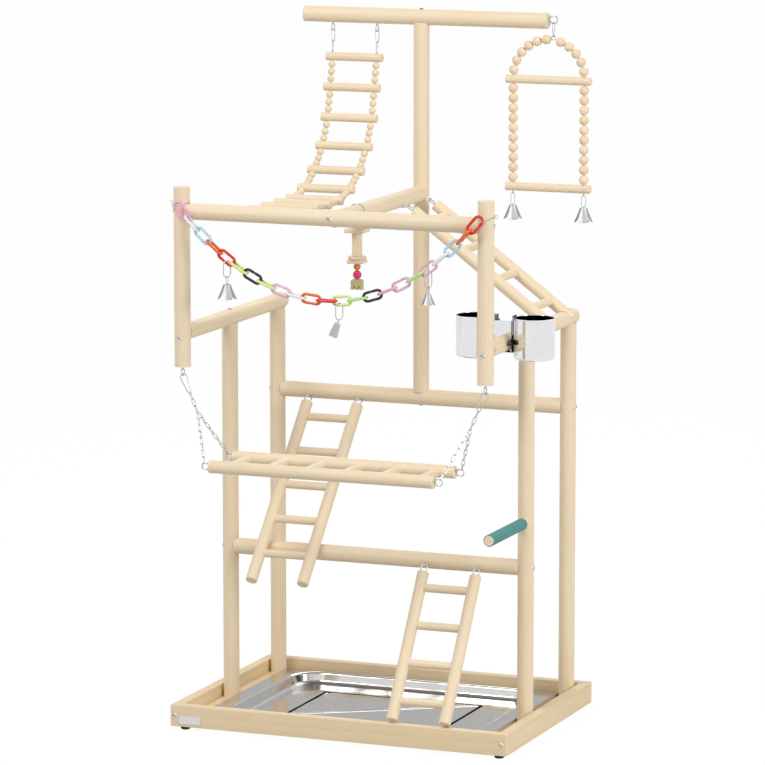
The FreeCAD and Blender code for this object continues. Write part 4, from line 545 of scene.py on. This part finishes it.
# Each step has two half sizes, a corner radius and a height.
STEPS = [
    (tray_half.x, tray_half.y, 6 * MM, tray_high.z - LIP),
    (tray_half.x, tray_half.y, 6 * MM, tray_high.z),
    (basin_x, basin_y, 50 * MM, tray_high.z),
    (basin_x - BASIN_SLOPE, basin_y - BASIN_SLOPE, 42 * MM, floor_z),
    (PANEL_X, PANEL_Y, 9 * MM, floor_z),
]
# The panel's own steps, in millimetres inwards and up: its edge, its pressed line and
# the flat middle.
for inwards, rise in ((5, 1.5), (17, 1.5), (22, 0.3), (27, 1.5), (30, 1.5)):
    STEPS.append((PANEL_X - inwards * MM, PANEL_Y - inwards * MM, 8 * MM, floor_z + rise * MM))


def outline(shape, half_x, half_y, corner, height):
    """A rectangle with round corners; returns its edges."""
    before = set(shape.edges)
    made = bmesh.ops.create_grid(shape, x_segments=1, y_segments=1, size=1.0)["verts"]
    bmesh.ops.scale(shape, verts=made, vec=(half_x, half_y, 1))
    bmesh.ops.translate(shape, verts=made, vec=(tray_middle.x, tray_middle.y, height))
    bmesh.ops.bevel(shape, geom=made, offset=corner, offset_type="OFFSET", segments=CORNER_STEPS,
                    profile=0.5, affect="VERTICES", material=-1)
    return [edge for edge in shape.edges if edge not in before]


pan = bmesh.new()
loops = []
for number, step in enumerate(STEPS):
    edges = outline(pan, *step)
    if number < len(STEPS) - 1:
        bmesh.ops.delete(pan, geom=edges[0].link_faces[:], context="FACES_ONLY")
    loops.append(edges)
for lower, upper in zip(loops, loops[1:]):
    bmesh.ops.bridge_loops(pan, edges=lower + upper)
for loop, width in ((loops[1], 1.2 * MM), (loops[2], 3.5 * MM), (loops[3], 5 * MM)):
    soften(pan, [edge for edge in loop if edge.is_valid], width, 4)
bmesh.ops.recalc_face_normals(pan, faces=pan.faces)
if max(pan.faces, key=lambda face: face.calc_area()).normal.z < 0:
    bmesh.ops.reverse_faces(pan, faces=pan.faces)
bmesh.ops.solidify(pan, geom=list(pan.faces), thickness=SHEET)
settle(pan, "tray_pan", "tray", [tray_metal], ["tray"], sharp=40)

# %% [markdown]
# A cup is a straight mirror beaker with a rounded foot and a thin rolled rim. Turning
# one profile about the cup's axis makes it, and the rings at its foot are rounded after.
# Its inside looks dark, so it is painted near-black with the painted-shade steel, as painted
# shade. Its hanger is a flat plate with eased edges, pressed a little into the cup's wall; its
# broad sides get the same painted shade.

# %% Cups
CUP_R, CUP_WALL, CUP_TALL = 35 * MM, 1 * MM, 70.5 * MM
# The rolled rim's section, in millimetres inwards and down from its outer top corner.
ROLLED_RIM = ((0, 2.2), (0, 0.3), (0.4, 0), (1.5, 0), (1.9, 0.5), (1.9, 1.7), (1, 2.6))
FOOT_OUTER, FOOT_INNER = 6 * MM, 5 * MM
PLATE_METAL, PLATE_WELD, PLATE_HALF = 1.1 * MM, 0.4 * MM, 10 * MM
PLATE_BELOW, PLATE_ABOVE = 30 * MM, 3 * MM
CUP_METALS = [mirror_metal, painted_shade_metal]

for side, sign in (("left", -1), ("right", 1)):
    low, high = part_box(f"cup_{side}")
    axis_x = low.x + CUP_R if sign < 0 else high.x - CUP_R
    foot = Vector((axis_x, (low.y + high.y) / 2, low.z))
    inner_r = CUP_R - CUP_WALL
    rim = [(CUP_R - inwards * MM, CUP_TALL - down * MM) for inwards, down in ROLLED_RIM]
    cup = bmesh.new()
    spin_profile(cup, [(0, 0), (CUP_R, 0), *rim, (inner_r, CUP_WALL), (0, CUP_WALL)], foot, 96)
    soften(cup, ring_edges(cup, CUP_R, 0, foot), FOOT_OUTER, 6)
    soften(cup, ring_edges(cup, inner_r, CUP_WALL, foot), FOOT_INNER, 6)
    bmesh.ops.recalc_face_normals(cup, faces=cup.faces)
    for face in cup.faces:
        spot = face.calc_center_median() - foot
        wall = face.normal.to_2d().dot(spot.to_2d()) < 0
        bottom = face.normal.z > 0.5 and spot.z < 10 * MM
        # The inner wall and inner bottom get material 1, the painted shade; the rolled rim stays
        # mirror.
        if (wall or bottom) and spot.z < CUP_TALL - 0.8 * MM:
            face.material_index = 1
    settle(cup, f"cup_beaker_{side}", f"cup_{side}", CUP_METALS, [f"cup_{side}"],
           sharp=40)
    outer_x = axis_x - sign * (CUP_R + PLATE_METAL)
    inner_x = outer_x + sign * (PLATE_METAL + PLATE_WELD)
    rim_z = low.z + CUP_TALL
    hanger = bmesh.new()
    slab(hanger, (min(outer_x, inner_x), foot.y - PLATE_HALF, rim_z - PLATE_BELOW),
         (max(outer_x, inner_x), foot.y + PLATE_HALF, rim_z + PLATE_ABOVE), 0.5 * MM)
    # The hanger's broad sides get material 1, the painted shade.
    for face in hanger.faces:
        face.material_index = int(abs(face.normal.x) > 0.9)
    settle(hanger, f"cup_hanger_{side}", f"cup_{side}", CUP_METALS, sharp=40)

# %% [markdown]
# The clamp is bent from thick strip, so its folds are rounded. A merged copy of its CAD
# mesh gets flat faces first, and then its sharp edges are eased. Its upper and side faces
# are painted near-black: painted shade for the dark between the cups that they face.

# %% Cup clamp
FOLD_ANGLE = 1.4
clamp = bmesh.new()
clamp.from_mesh(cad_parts["cup_clamp"].data)
weld(clamp, CAD_WELD)
bmesh.ops.dissolve_limit(clamp, angle_limit=math.radians(0.5), verts=clamp.verts,
                         edges=clamp.edges)
folds = [edge for edge in clamp.edges
         if len(edge.link_faces) == 2 and edge.calc_face_angle(0) > FOLD_ANGLE]
soften(clamp, folds, 0.35 * MM, 2)
# Upper and side faces get material 1, the painted shade.
for face in clamp.faces:
    face.material_index = int(face.normal.z > 0.9 or abs(face.normal.x) > 0.9)
settle(clamp, "bent_clamp", "stand", CUP_METALS, ["cup_clamp"], sharp=35)

# %% [markdown]
# The clamp is tightened by hand with a small black wing knob. A round hub turns about
# the bolt, and one flattened wing passes through it, thick in the middle and eased all
# round so that it is kind to fingers.

# %% Wing knob
black_plastic = Finish("black_plastic", Specular_IOR_Level=0.5)
mottle = black_plastic.grains(350, 2.0)
black_plastic.set(Base_Color=black_plastic.blend(mottle, shade(24, 24, 25), shade(40, 40, 42)),
                  Roughness=0.3 + mottle * 0.2,
                  Normal=black_plastic.bump(mottle, 0.05 * MM, 0.5))
low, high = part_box("clamp_knob")
heart = (low + high) / 2
length = high.x - low.x
WING_HALF = 2.1 * MM
knob = bmesh.new()
spin_profile(knob, in_mm((0, 0), (3.2, 0), (4, 0.8)) + [
    (4 * MM, length - 1.6 * MM), (3.4 * MM, length - 0.4 * MM), (2.4 * MM, length), (0, length)],
    (low.x, heart.y, heart.z), 36, (1, 0, 0), (0, 1, 0))
slab(knob, (low.x + 1.4 * MM, low.y, heart.z - WING_HALF),
     (high.x - 1 * MM, high.y, heart.z + WING_HALF), 1.7 * MM)
settle(knob, "wing_knob", "clamp_knob", [black_plastic.material],
       ["clamp_knob"], sharp=50)

# %% [markdown]
# The garland is a chain of moulded plastic links, each an open oval that snaps shut.
# A ring of wire, spun about its middle, becomes an oval link when its two halves are
# moved apart. A shallow groove on one long side marks the snap. The CAD links give each
# place and direction: the spread of a link's points shows its length, width and normal.

# %% Garland
LINK_LONG, LINK_WIDE, LINK_WIRE = 38.4 * MM, 19.4 * MM, 4.96 * MM
SNAP_GROOVE = 0.3
LINK_COLOURS = {
    "pink": (240, 168, 206), "white": (240, 240, 240), "sky": (188, 222, 238),
    "orange": (234, 106, 34), "red": (226, 48, 34), "lime": (224, 241, 156),
    "black": (36, 36, 39), "straw": (232, 239, 156), "green": (192, 234, 146),
    "rose": (238, 190, 218),
}
LINK_ORDER = ("pink white sky orange red lime black straw rose white orange red "
              "straw green black pink rose green rose white sky orange red").split()


def plastic(name, colour):
    """Glossy moulded plastic with a faint cloudiness."""
    finish = Finish(name, Specular_IOR_Level=0.5)
    haze = finish.grains(160, 2.0)
    finish.set(Base_Color=finish.blend(haze, colour, dimmed(colour, 0.84)),
               Roughness=0.2 + haze * 0.14, Normal=finish.bump(haze, 0.06 * MM, 0.4))
    return finish.material


def link_axes(points):
    """A link's middle, and its length, width and normal directions."""
    spread = np.linalg.svd(points - points.mean(0), full_matrices=False)[2]
    length, width = Vector(spread[0]), Vector(spread[1])
    return middle_of(points), length, width, length.cross(width)


def axes_matrix(centre, *directions):
    """The matrix that lays X, Y and Z along three directions at a centre."""
    return Matrix.Translation(centre) @ Matrix(directions).transposed().to_4x4()


def oval_link(shape, axes, long, wide, wire, groove=0.0, colour=0, sides=12):
    """Adds a closed link of round wire; long and wide are its outer sizes."""
    side_y = wide / 2 - wire / 2
    link = bmesh.new()
    made = bmesh.ops.create_circle(link, radius=wire / 2, segments=sides)["verts"]
    bmesh.ops.rotate(link, verts=made, cent=(0, 0, 0),
                     matrix=Matrix.Rotation(math.pi / 2, 3, "X"))
    bmesh.ops.translate(link, verts=made, vec=(side_y, 0, 0))
    bmesh.ops.spin(link, geom=link.verts[:] + link.edges[:], cent=(0, 0, 0), axis=(0, 0, 1),
                   angle=math.tau, steps=30, use_merge=True)
    weld(link)
    for vertex in link.verts:
        vertex.co.x += math.copysign((long - wide) / 2, vertex.co.x)
    if groove:
        crossing = [edge for edge in link.edges
                    if edge.verts[0].co.x * edge.verts[1].co.x < 0 and edge.verts[0].co.y > 0]
        bmesh.ops.subdivide_edges(link, edges=crossing, cuts=7)
        for vertex in link.verts:
            if abs(vertex.co.x) < 0.3 * MM and vertex.co.y > 0:
                vertex.co.y = side_y + (vertex.co.y - side_y) * (1 - groove)
                vertex.co.z *= 1 - groove
    bmesh.ops.transform(link, verts=link.verts, matrix=axes_matrix(*axes))
    for face in link.faces:
        face.material_index = colour
    carrier = bpy.data.meshes.new("link")
    link.to_mesh(carrier)
    link.free()
    shape.from_mesh(carrier)
    bpy.data.meshes.remove(carrier)


colour_names = list(LINK_COLOURS)
link_finishes = [plastic(f"link_{name}", shade(*LINK_COLOURS[name])) for name in colour_names]
link_solids = sorted(solids("garland_links"), key=lambda points: middle_of(points).x)
garland = bmesh.new()
for points, name in zip(link_solids, LINK_ORDER, strict=True):
    oval_link(garland, link_axes(points), LINK_LONG, LINK_WIDE, LINK_WIRE, SNAP_GROOVE,
              colour_names.index(name), 14)
settle(garland, "plastic_links", "garland", link_finishes, ["garland_links"],
       sharp=40)

# %% [markdown]
# A bell for a bird toy is cut from sheet metal as a cross with four wide arms. The arms
# are bent down into petals, which leaves a narrow slit between each two. Here a grid
# becomes one petal: its rows run from the crown to the mouth, and its lower corners are
# rounded. A loop stands on the crown, and a wire inside carries a small clapper.


# %% Bells
BELL_TALL, BELL_MOUTH, BELL_CROWN = 28 * MM, 34 * MM, 13 * MM
BELL_SHEET = 0.7 * MM
FLARE = 1.15
PETAL_TURN = math.radians(20)
CROWN_WIRE = 1.3 * MM
CLAPPER = 7 * MM
TOY_RING = (30 * MM, 17 * MM, 2 * MM)


def petal_bell(shape, foot, mouth, crown, tall):
    """Four sheet-metal petals and a crown; foot is the mouth's middle."""
    hem = tall * 0.1
    for quarter in range(4):
        before = set(shape.verts)
        bmesh.ops.create_grid(shape, x_segments=14, y_segments=16, size=1.0)
        new = [vertex for vertex in shape.verts if vertex not in before]
        for vertex in new:
            across, down = vertex.co.x, (1 - vertex.co.y) / 2
            radius = (crown + (mouth - crown) * down ** FLARE) / 2
            slit = (0.25 + down) * MM * mouth / BELL_MOUTH
            widest = math.pi / 4 - slit / radius
            rounding = max(0.0, (down - 0.84) / 0.16)
            swing = across * widest * (1 - 0.3 * rounding ** 3)
            out = radius * (0.85 * math.cos(swing) + 0.15 * math.cos(widest))
            drop = down - 0.05 * abs(across) ** 3 * rounding
            vertex.co = Vector((out, radius * math.sin(swing), hem + (tall - hem) * (1 - drop)))
        faces = list(dict.fromkeys(face for vertex in new for face in vertex.link_faces))
        bmesh.ops.recalc_face_normals(shape, faces=faces)
        made = bmesh.ops.solidify(shape, geom=faces, thickness=BELL_SHEET)
        grown = set(new) | {part for part in made["geom"] if isinstance(part, bmesh.types.BMVert)}
        bmesh.ops.rotate(shape, verts=list(grown), cent=(0, 0, 0), matrix=Matrix.Rotation(
            PETAL_TURN + quarter * math.pi / 2, 3, "Z"))
        bmesh.ops.translate(shape, verts=list(grown), vec=foot)
    top = crown / 2 * 0.93
    spin_profile(shape, [(0, tall - 0.9 * MM), (top, tall - 0.9 * MM),
                         (top + 0.2 * MM, tall - 0.4 * MM), (top - 0.5 * MM, tall), (0, tall)],
                 foot, 32)


def rod_between(shape, start, end, radius):
    """A plain round wire with flat ends."""
    run = end - start
    spin_profile(shape, [(0, 0), (radius, 0), (radius, run.length), (0, run.length)],
                 start, 12, run, run.orthogonal())


def clapper(shape, foot, tall, size):
    """The clapper's wire and ball inside a bell."""
    rod_between(shape, foot + Vector((0, 0, size)), foot + Vector((0, 0, tall)), 0.5 * MM)
    ball = bmesh.ops.create_uvsphere(shape, u_segments=24, v_segments=14, radius=size / 2)
    bmesh.ops.translate(shape, verts=ball["verts"], vec=foot + Vector((0, 0, size / 2)))


def crown_loop(shape, foot, tall, top, turn, widest, wire):
    """An upright loop from a bell's crown to a height, turned about Z."""
    low = foot.z + tall
    centre = Vector((foot.x, foot.y, (low + top) / 2))
    up, across = Vector((0, 0, 1)), Vector((math.cos(turn), math.sin(turn), 0))
    oval_link(shape, (centre, up, across, up.cross(across)), top - low,
              min(top - low, widest), wire)


for side in ("left", "right"):
    low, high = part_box(f"swing_bell_{side}")
    foot = foot_of(low, high)
    bell = bmesh.new()
    petal_bell(bell, foot, BELL_MOUTH, BELL_CROWN, BELL_TALL)
    crown_loop(bell, foot, BELL_TALL, high.z, 0, 8.4 * MM, CROWN_WIRE)
    clapper(bell, foot, BELL_TALL, CLAPPER)
    settle(bell, f"petal_bell_{side}", f"swing_bell_{side}", [bell_metal],
           [f"swing_bell_{side}"])

for node, share in (("garland_bell", 1.0), ("garland_small_bell", 0.72)):
    ring, body = sorted(solids(node), key=lambda points: -middle_of(points).z)
    low, high = Vector(body.min(0)), Vector(body.max(0))
    foot = foot_of(low, high)
    ring_width = link_axes(ring)[2]
    turn = math.atan2(ring_width.y, ring_width.x) + math.pi / 2
    bell = bmesh.new()
    petal_bell(bell, foot, BELL_MOUTH * share, BELL_CROWN * share, BELL_TALL * share)
    oval_link(bell, link_axes(ring), *TOY_RING, sides=10)
    crown_loop(bell, foot, BELL_TALL * share, high.z, turn, 7 * MM, CROWN_WIRE * share ** 0.5)
    clapper(bell, foot, BELL_TALL * share, CLAPPER * share)
    settle(bell, node + "_petals", node, [bell_metal], [node])
    print(node, "mouth at", [round(part, 3) for part in foot])

# %% [markdown]
# The flat bell is folded from one piece of sheet, like a small cowbell. It is wider at
# the mouth, and it hangs askew because its loop sits off its middle. A tapered box with
# no bottom makes the body, with eased folds and a thickness.

# %% Flat bell
LOOP_SHARE = 0.26
CROWN_WIDE, CROWN_FLAT = 0.68, 0.62
ring, body = sorted(solids("garland_cowbell"), key=lambda points: -middle_of(points).z)
centre, bell_long, bell_wide, _ = link_axes(body)
if bell_long.z < 0:
    bell_long = -bell_long
bell_flat = bell_wide.cross(bell_long)
directions = (bell_wide, bell_flat, bell_long)
local = np.array([[(Vector(point) - centre).dot(axis) for axis in directions] for point in body])
half_wide, half_flat, half_long = (local.max(0) - local.min(0)) / 2
for axis, shift in zip(directions, (local.max(0) + local.min(0)) / 2):
    centre += axis * shift
flat_bell = bmesh.new()
for vertex in bmesh.ops.create_cube(flat_bell, size=2.0)["verts"]:
    upper = vertex.co.z > 0
    vertex.co.x *= half_wide * (CROWN_WIDE if upper else 1.0)
    vertex.co.y *= half_flat * (CROWN_FLAT if upper else 1.0)
    vertex.co.z = half_long * ((1 - 2 * LOOP_SHARE) if upper else -1.0)
under = min(flat_bell.faces, key=lambda face: face.calc_center_median().z)
bmesh.ops.delete(flat_bell, geom=[under], context="FACES_ONLY")
soften(flat_bell, [edge for edge in flat_bell.edges if len(edge.link_faces) == 2], 1.4 * MM, 4)
bmesh.ops.recalc_face_normals(flat_bell, faces=flat_bell.faces)
bmesh.ops.solidify(flat_bell, geom=list(flat_bell.faces), thickness=BELL_SHEET)
bmesh.ops.transform(flat_bell, verts=flat_bell.verts, matrix=axes_matrix(centre, *directions))
loop = half_long * 2 * LOOP_SHARE
loop_axes = (centre + bell_long * (half_long - loop / 2), bell_long, bell_flat,
             bell_long.cross(bell_flat))
oval_link(flat_bell, loop_axes, loop, min(loop, 6 * MM), 1.2 * MM)
oval_link(flat_bell, link_axes(ring), *TOY_RING, sides=10)
settle(flat_bell, "flat_bell", "garland_cowbell", [bell_metal],
       ["garland_cowbell"])

# %% [markdown]
# The name plate is a small strip of brushed steel, left blank. Brushing leaves long fine
# scratches that all run one way, so the noise behind its roughness is stretched.

# %% Name plate
brushed = Finish("brushed_plate", Metallic=1.0)
scratches = brushed.cloud(brushed.place(scale=(60, 900, 2600)), 3.0, 0.7)
brushed.set(Base_Color=brushed.blend(scratches, (0.80, 0.80, 0.80, 1), (0.6, 0.6, 0.61, 1)),
            Roughness=0.22 + scratches * 0.22)
plate = bmesh.new()
slab(plate, *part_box("name_plate"), 0.3 * MM)
settle(plate, "blank_plate", "stand", [brushed.material], ["name_plate"], sharp=50)

# %% [markdown]
# Four black rubber feet hold the base off the floor. Each is turned: a flat contact
# patch, a round belly and a narrower top against the wood.

# %% Feet
rubber = Finish("black_rubber")
grain = rubber.grains(500, 3.0)
rubber.set(Base_Color=rubber.blend(grain, shade(26, 26, 27), shade(48, 47, 46)),
           Roughness=0.5 + grain * 0.3, Normal=rubber.bump(grain, 0.08 * MM, 0.6))
belly = in_mm((0, 0), (5.8, 0), (7.4, 0.5), (8.3, 1.8), (8.5, 3.4), (8.2, 5.4), (7.4, 6.8))
feet = bmesh.new()
for points in solids("base_feet"):
    spot = middle_of(points)
    top = points[:, 2].max()
    spin_profile(feet, belly + [(6.6 * MM, top), (0, top)], (spot.x, spot.y, 0), 40)
settle(feet, "round_feet", "stand", [rubber.material], ["base_feet"], sharp=60)

# %% [markdown]
# Wooden beads are turned from short offcuts, so neighbours differ in tone and grain.
# Each bead is a ball with a bored hole, whose edge is eased. Three close wood tones are
# dealt out in a fixed order, which keeps neighbours in a column unlike.


# %% Swing beads
BEAD_R, BEAD_BORE = 8.5 * MM, 1.3 * MM
BEAD_ROWS = 14
BEAD_TONES = (0, 2, 1, 0, 1, 0, 2)
NEXT_BEAD = 24 * MM


def bead(shape, centre, axis, radius, bore, tone):
    """A turned bead with an eased hole along an axis."""
    before = set(shape.verts)
    start = math.acos((bore + 0.5 * MM) / radius)
    angles = [start - 2 * start * row / BEAD_ROWS for row in range(BEAD_ROWS + 1)]
    ball = [(radius * math.cos(angle), radius * math.sin(angle)) for angle in angles]
    high = ball[0][1]
    profile = [(bore, high - 0.5 * MM), (bore + 0.15 * MM, high - 0.12 * MM), *ball,
               (bore + 0.15 * MM, 0.12 * MM - high), (bore, 0.5 * MM - high)]
    run = Vector(axis)
    spin_profile(shape, profile + [profile[0]], centre, 32, run, run.orthogonal())
    for vertex in shape.verts:
        if vertex not in before:
            for face in vertex.link_faces:
                face.material_index = tone


bead_woods = [
    wood(name, direction, light, dark, 5 * MM, 0.2) for name, direction, light, dark in (
        ("bead_pale", (0.3, 0.2, 1), shade(240, 222, 194), shade(216, 188, 148)),
        ("bead_warm", (1, 0.3, 0.2), shade(240, 218, 190), shade(216, 180, 144)),
        ("bead_honey", (0.2, 1, 0.4), shade(237, 217, 184), shade(211, 180, 136)))]
bead_spots = sorted((middle_of(points) for points in solids("swing_beads")),
                    key=lambda place: (round(place.x, 2), place.z))
swing_beads = bmesh.new()
for number, spot in enumerate(bead_spots):
    first, second = sorted(bead_spots, key=lambda place: (place - spot).length)[1:3]
    run = first - second if (second - spot).length < NEXT_BEAD else first - spot
    bead(swing_beads, spot, run, BEAD_R, BEAD_BORE, BEAD_TONES[number % len(BEAD_TONES)])
settle(swing_beads, "swing_beads_turned", "swing", bead_woods, ["swing_beads"],
       sharp=50)

# %% [markdown]
# The grit perch wears down a bird's claws. A teal sleeve of cement and sand covers the
# wooden rod. Noise pushes points of a fine tube inwards, by up to half a millimetre, and
# the finish adds the finest grains and paler worn specks.

# %% Grit sleeve
GRIT_DEPTH = 0.55 * MM
GRIT_ROWS = 180
grit = Finish("teal_grit")
coarse = grit.ramp(grit.grains(600, 4.0, 0.7), (0.35, 0.0), (0.68, 1.0))
specks = grit.grains(1500, 1.0) > 0.64
teal = grit.blend(coarse, shade(58, 122, 120), shade(106, 172, 166))
grit.set(Base_Color=grit.blend(specks * 0.4, teal, shade(190, 222, 216)),
         Roughness=0.72 + coarse * 0.22, Normal=grit.bump(coarse + specks, 0.35 * MM, 0.9))
low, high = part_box("grit_perch_sleeve")
core_low, core_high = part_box("grit_perch_core")
axis_x, axis_z = (low.x + high.x) / 2, (low.z + high.z) / 2
outer, run = (high.x - low.x) / 2, high.y - low.y
inner = (core_high.x - core_low.x) / 2 + 0.05 * MM
eased = inner + 0.5 * MM
skin = [(outer, 0.6 * MM + (run - 1.2 * MM) * row / GRIT_ROWS) for row in range(GRIT_ROWS + 1)]
sleeve = bmesh.new()
spin_profile(sleeve, [(inner, 0), (eased, 0), *skin, (eased, run), (inner, run), (inner, 0)],
             (axis_x, low.y, axis_z), 84, (0, 1, 0), (1, 0, 0))
for vertex in sleeve.verts:
    out = Vector((vertex.co.x - axis_x, 0, vertex.co.z - axis_z))
    if out.length > inner + 0.6 * MM:
        depth = 0.5 + 0.5 * noise.noise(vertex.co * 420) + 0.25 * noise.noise(vertex.co * 900)
        vertex.co -= out.normalized() * min(max(depth, 0.0), 1.0) * GRIT_DEPTH
settle(sleeve, "grit_sleeve", "stand", [grit.material], ["grit_perch_sleeve"],
       sharp=80)

# %% [markdown]
# The foraging toy is a stack on one wire: a square plate, a spool, a ring, a smaller
# plate, two dyed beads and an olive block with an arched foot. Each is turned or sawn and
# sanded, so every edge is eased. The dyed pieces are modelled after the plain ones.

# %% Foraging toy
PLATE, SPOOL, RING, LOW_PLATE = 7 * MM, 41 * MM, 5 * MM, 7 * MM
SPOOL_R, SPOOL_WAIST, RING_R, LOW_HALF = 9 * MM, 0.97, 16 * MM, 13.75 * MM
EASE, SPOOL_EASE, RING_EASE, RING_CHAMFER = 1.4 * MM, 0.8 * MM, 1.6 * MM, 0.5 * MM
wood_low, wood_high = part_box("toy_wood")
bead_low, bead_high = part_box("toy_beads")
toy_x, toy_y = (wood_low.x + wood_high.x) / 2, (wood_low.y + wood_high.y) / 2
heights = [wood_high.z]
for step in (PLATE, SPOOL, RING, LOW_PLATE):
    heights.append(heights[-1] - step)


def square_plate(shape, half, low, high):
    """A square plate on the toy's wire."""
    slab(shape, (toy_x - half, toy_y - half, low), (toy_x + half, toy_y + half, high), EASE)


toy = bmesh.new()
square_plate(toy, (wood_high.x - wood_low.x) / 2, heights[1], heights[0])
spin_profile(toy, [(0, 0), (SPOOL_R - SPOOL_EASE, 0), (SPOOL_R, SPOOL_EASE),
                   (SPOOL_R * SPOOL_WAIST, SPOOL * 0.3), (SPOOL_R * SPOOL_WAIST, SPOOL * 0.7),
                   (SPOOL_R, SPOOL - SPOOL_EASE), (SPOOL_R - SPOOL_EASE, SPOOL), (0, SPOOL)],
             (toy_x, toy_y, heights[2]), 48)
spin_profile(toy, [(0, 0), (RING_R - RING_EASE, 0), (RING_R - RING_CHAMFER, RING_CHAMFER),
                   (RING_R, RING_EASE), (RING_R, RING - RING_EASE),
                   (RING_R - RING_CHAMFER, RING - RING_CHAMFER), (RING_R - RING_EASE, RING),
                   (0, RING)],
             (toy_x, toy_y, heights[3]), 64)
square_plate(toy, LOW_HALF, heights[4], heights[3])
settle(toy, "toy_plain_wood", "foraging_toy", [upright], ["toy_wood"], sharp=35)


def dyed(name, light, dark):
    """Dyed wood: the grain still shows faintly."""
    return wood(name, (0, 0, 1), light, dark, 2.2 * MM, 0.6)


BLOCK_HALF_X, BLOCK_HALF_Y = 10.5 * MM, 4.5 * MM
ARCH_HALF, ARCH_PLACE, ARCH_TALL = 1.9 * MM, 4.4 * MM, 7.5 * MM
TINY = 1e-6
block_low, block_high = wood_low.z, bead_low.z
tall = block_high - block_low
block = bmesh.new()
made = bmesh.ops.create_grid(block, x_segments=1, y_segments=1, size=1.0)["verts"]
bmesh.ops.scale(block, verts=made, vec=(BLOCK_HALF_X, tall / 2, 1))
bottom = [edge for edge in block.edges if all(vertex.co.y < 0 for vertex in edge.verts)]
bmesh.ops.subdivide_edges(block, edges=bottom, cuts=54)
for vertex in block.verts:
    share = (abs(vertex.co.x) - ARCH_PLACE) / ARCH_HALF
    if vertex.co.y < TINY - tall / 2 and abs(share) < 1:
        vertex.co.y += ARCH_TALL * math.sqrt(1 - share * share)
corners = [vertex for vertex in block.verts if vertex.co.y > tall / 2 - TINY]
bmesh.ops.bevel(block, geom=corners, offset=5 * MM, segments=8, profile=0.5, affect="VERTICES",
                material=-1)
bmesh.ops.rotate(block, verts=block.verts, cent=(0, 0, 0),
                 matrix=Matrix.Rotation(math.pi / 2, 3, "X"))
bmesh.ops.translate(block, verts=block.verts,
                    vec=(toy_x, toy_y + BLOCK_HALF_Y, (block_high + block_low) / 2))
grown = bmesh.ops.extrude_face_region(block, geom=list(block.faces))["geom"]
bmesh.ops.translate(block, verts=[part for part in grown if isinstance(part, bmesh.types.BMVert)],
                    vec=(0, -2 * BLOCK_HALF_Y, 0))
bmesh.ops.recalc_face_normals(block, faces=block.faces)
soften(block, [edge for edge in block.edges if edge.calc_face_angle(0) > 1.2], 0.7 * MM)
settle(block, "toy_block", "foraging_toy",
       [dyed("olive_dye", shade(210, 200, 148), shade(172, 158, 100))], sharp=35)

SMALL_R, LARGE_R, TOY_BORE = 6.1 * MM, 7.5 * MM, 0.9 * MM
PLAY = 0.05 * MM
toy_beads = bmesh.new()
bead(toy_beads, (toy_x, toy_y, bead_high.z - SMALL_R + PLAY), (0, 0, 1), SMALL_R - PLAY,
     TOY_BORE, 0)
bead(toy_beads, (toy_x, toy_y, bead_low.z + LARGE_R), (0, 0, 1), LARGE_R - PLAY, TOY_BORE, 1)
settle(toy_beads, "toy_dyed_beads", "foraging_toy",
       [dyed("orange_dye", shade(236, 152, 66), shade(214, 120, 42)),
        dyed("pink_dye", shade(238, 72, 142), shade(206, 40, 110))],
       ["toy_beads"], sharp=50)
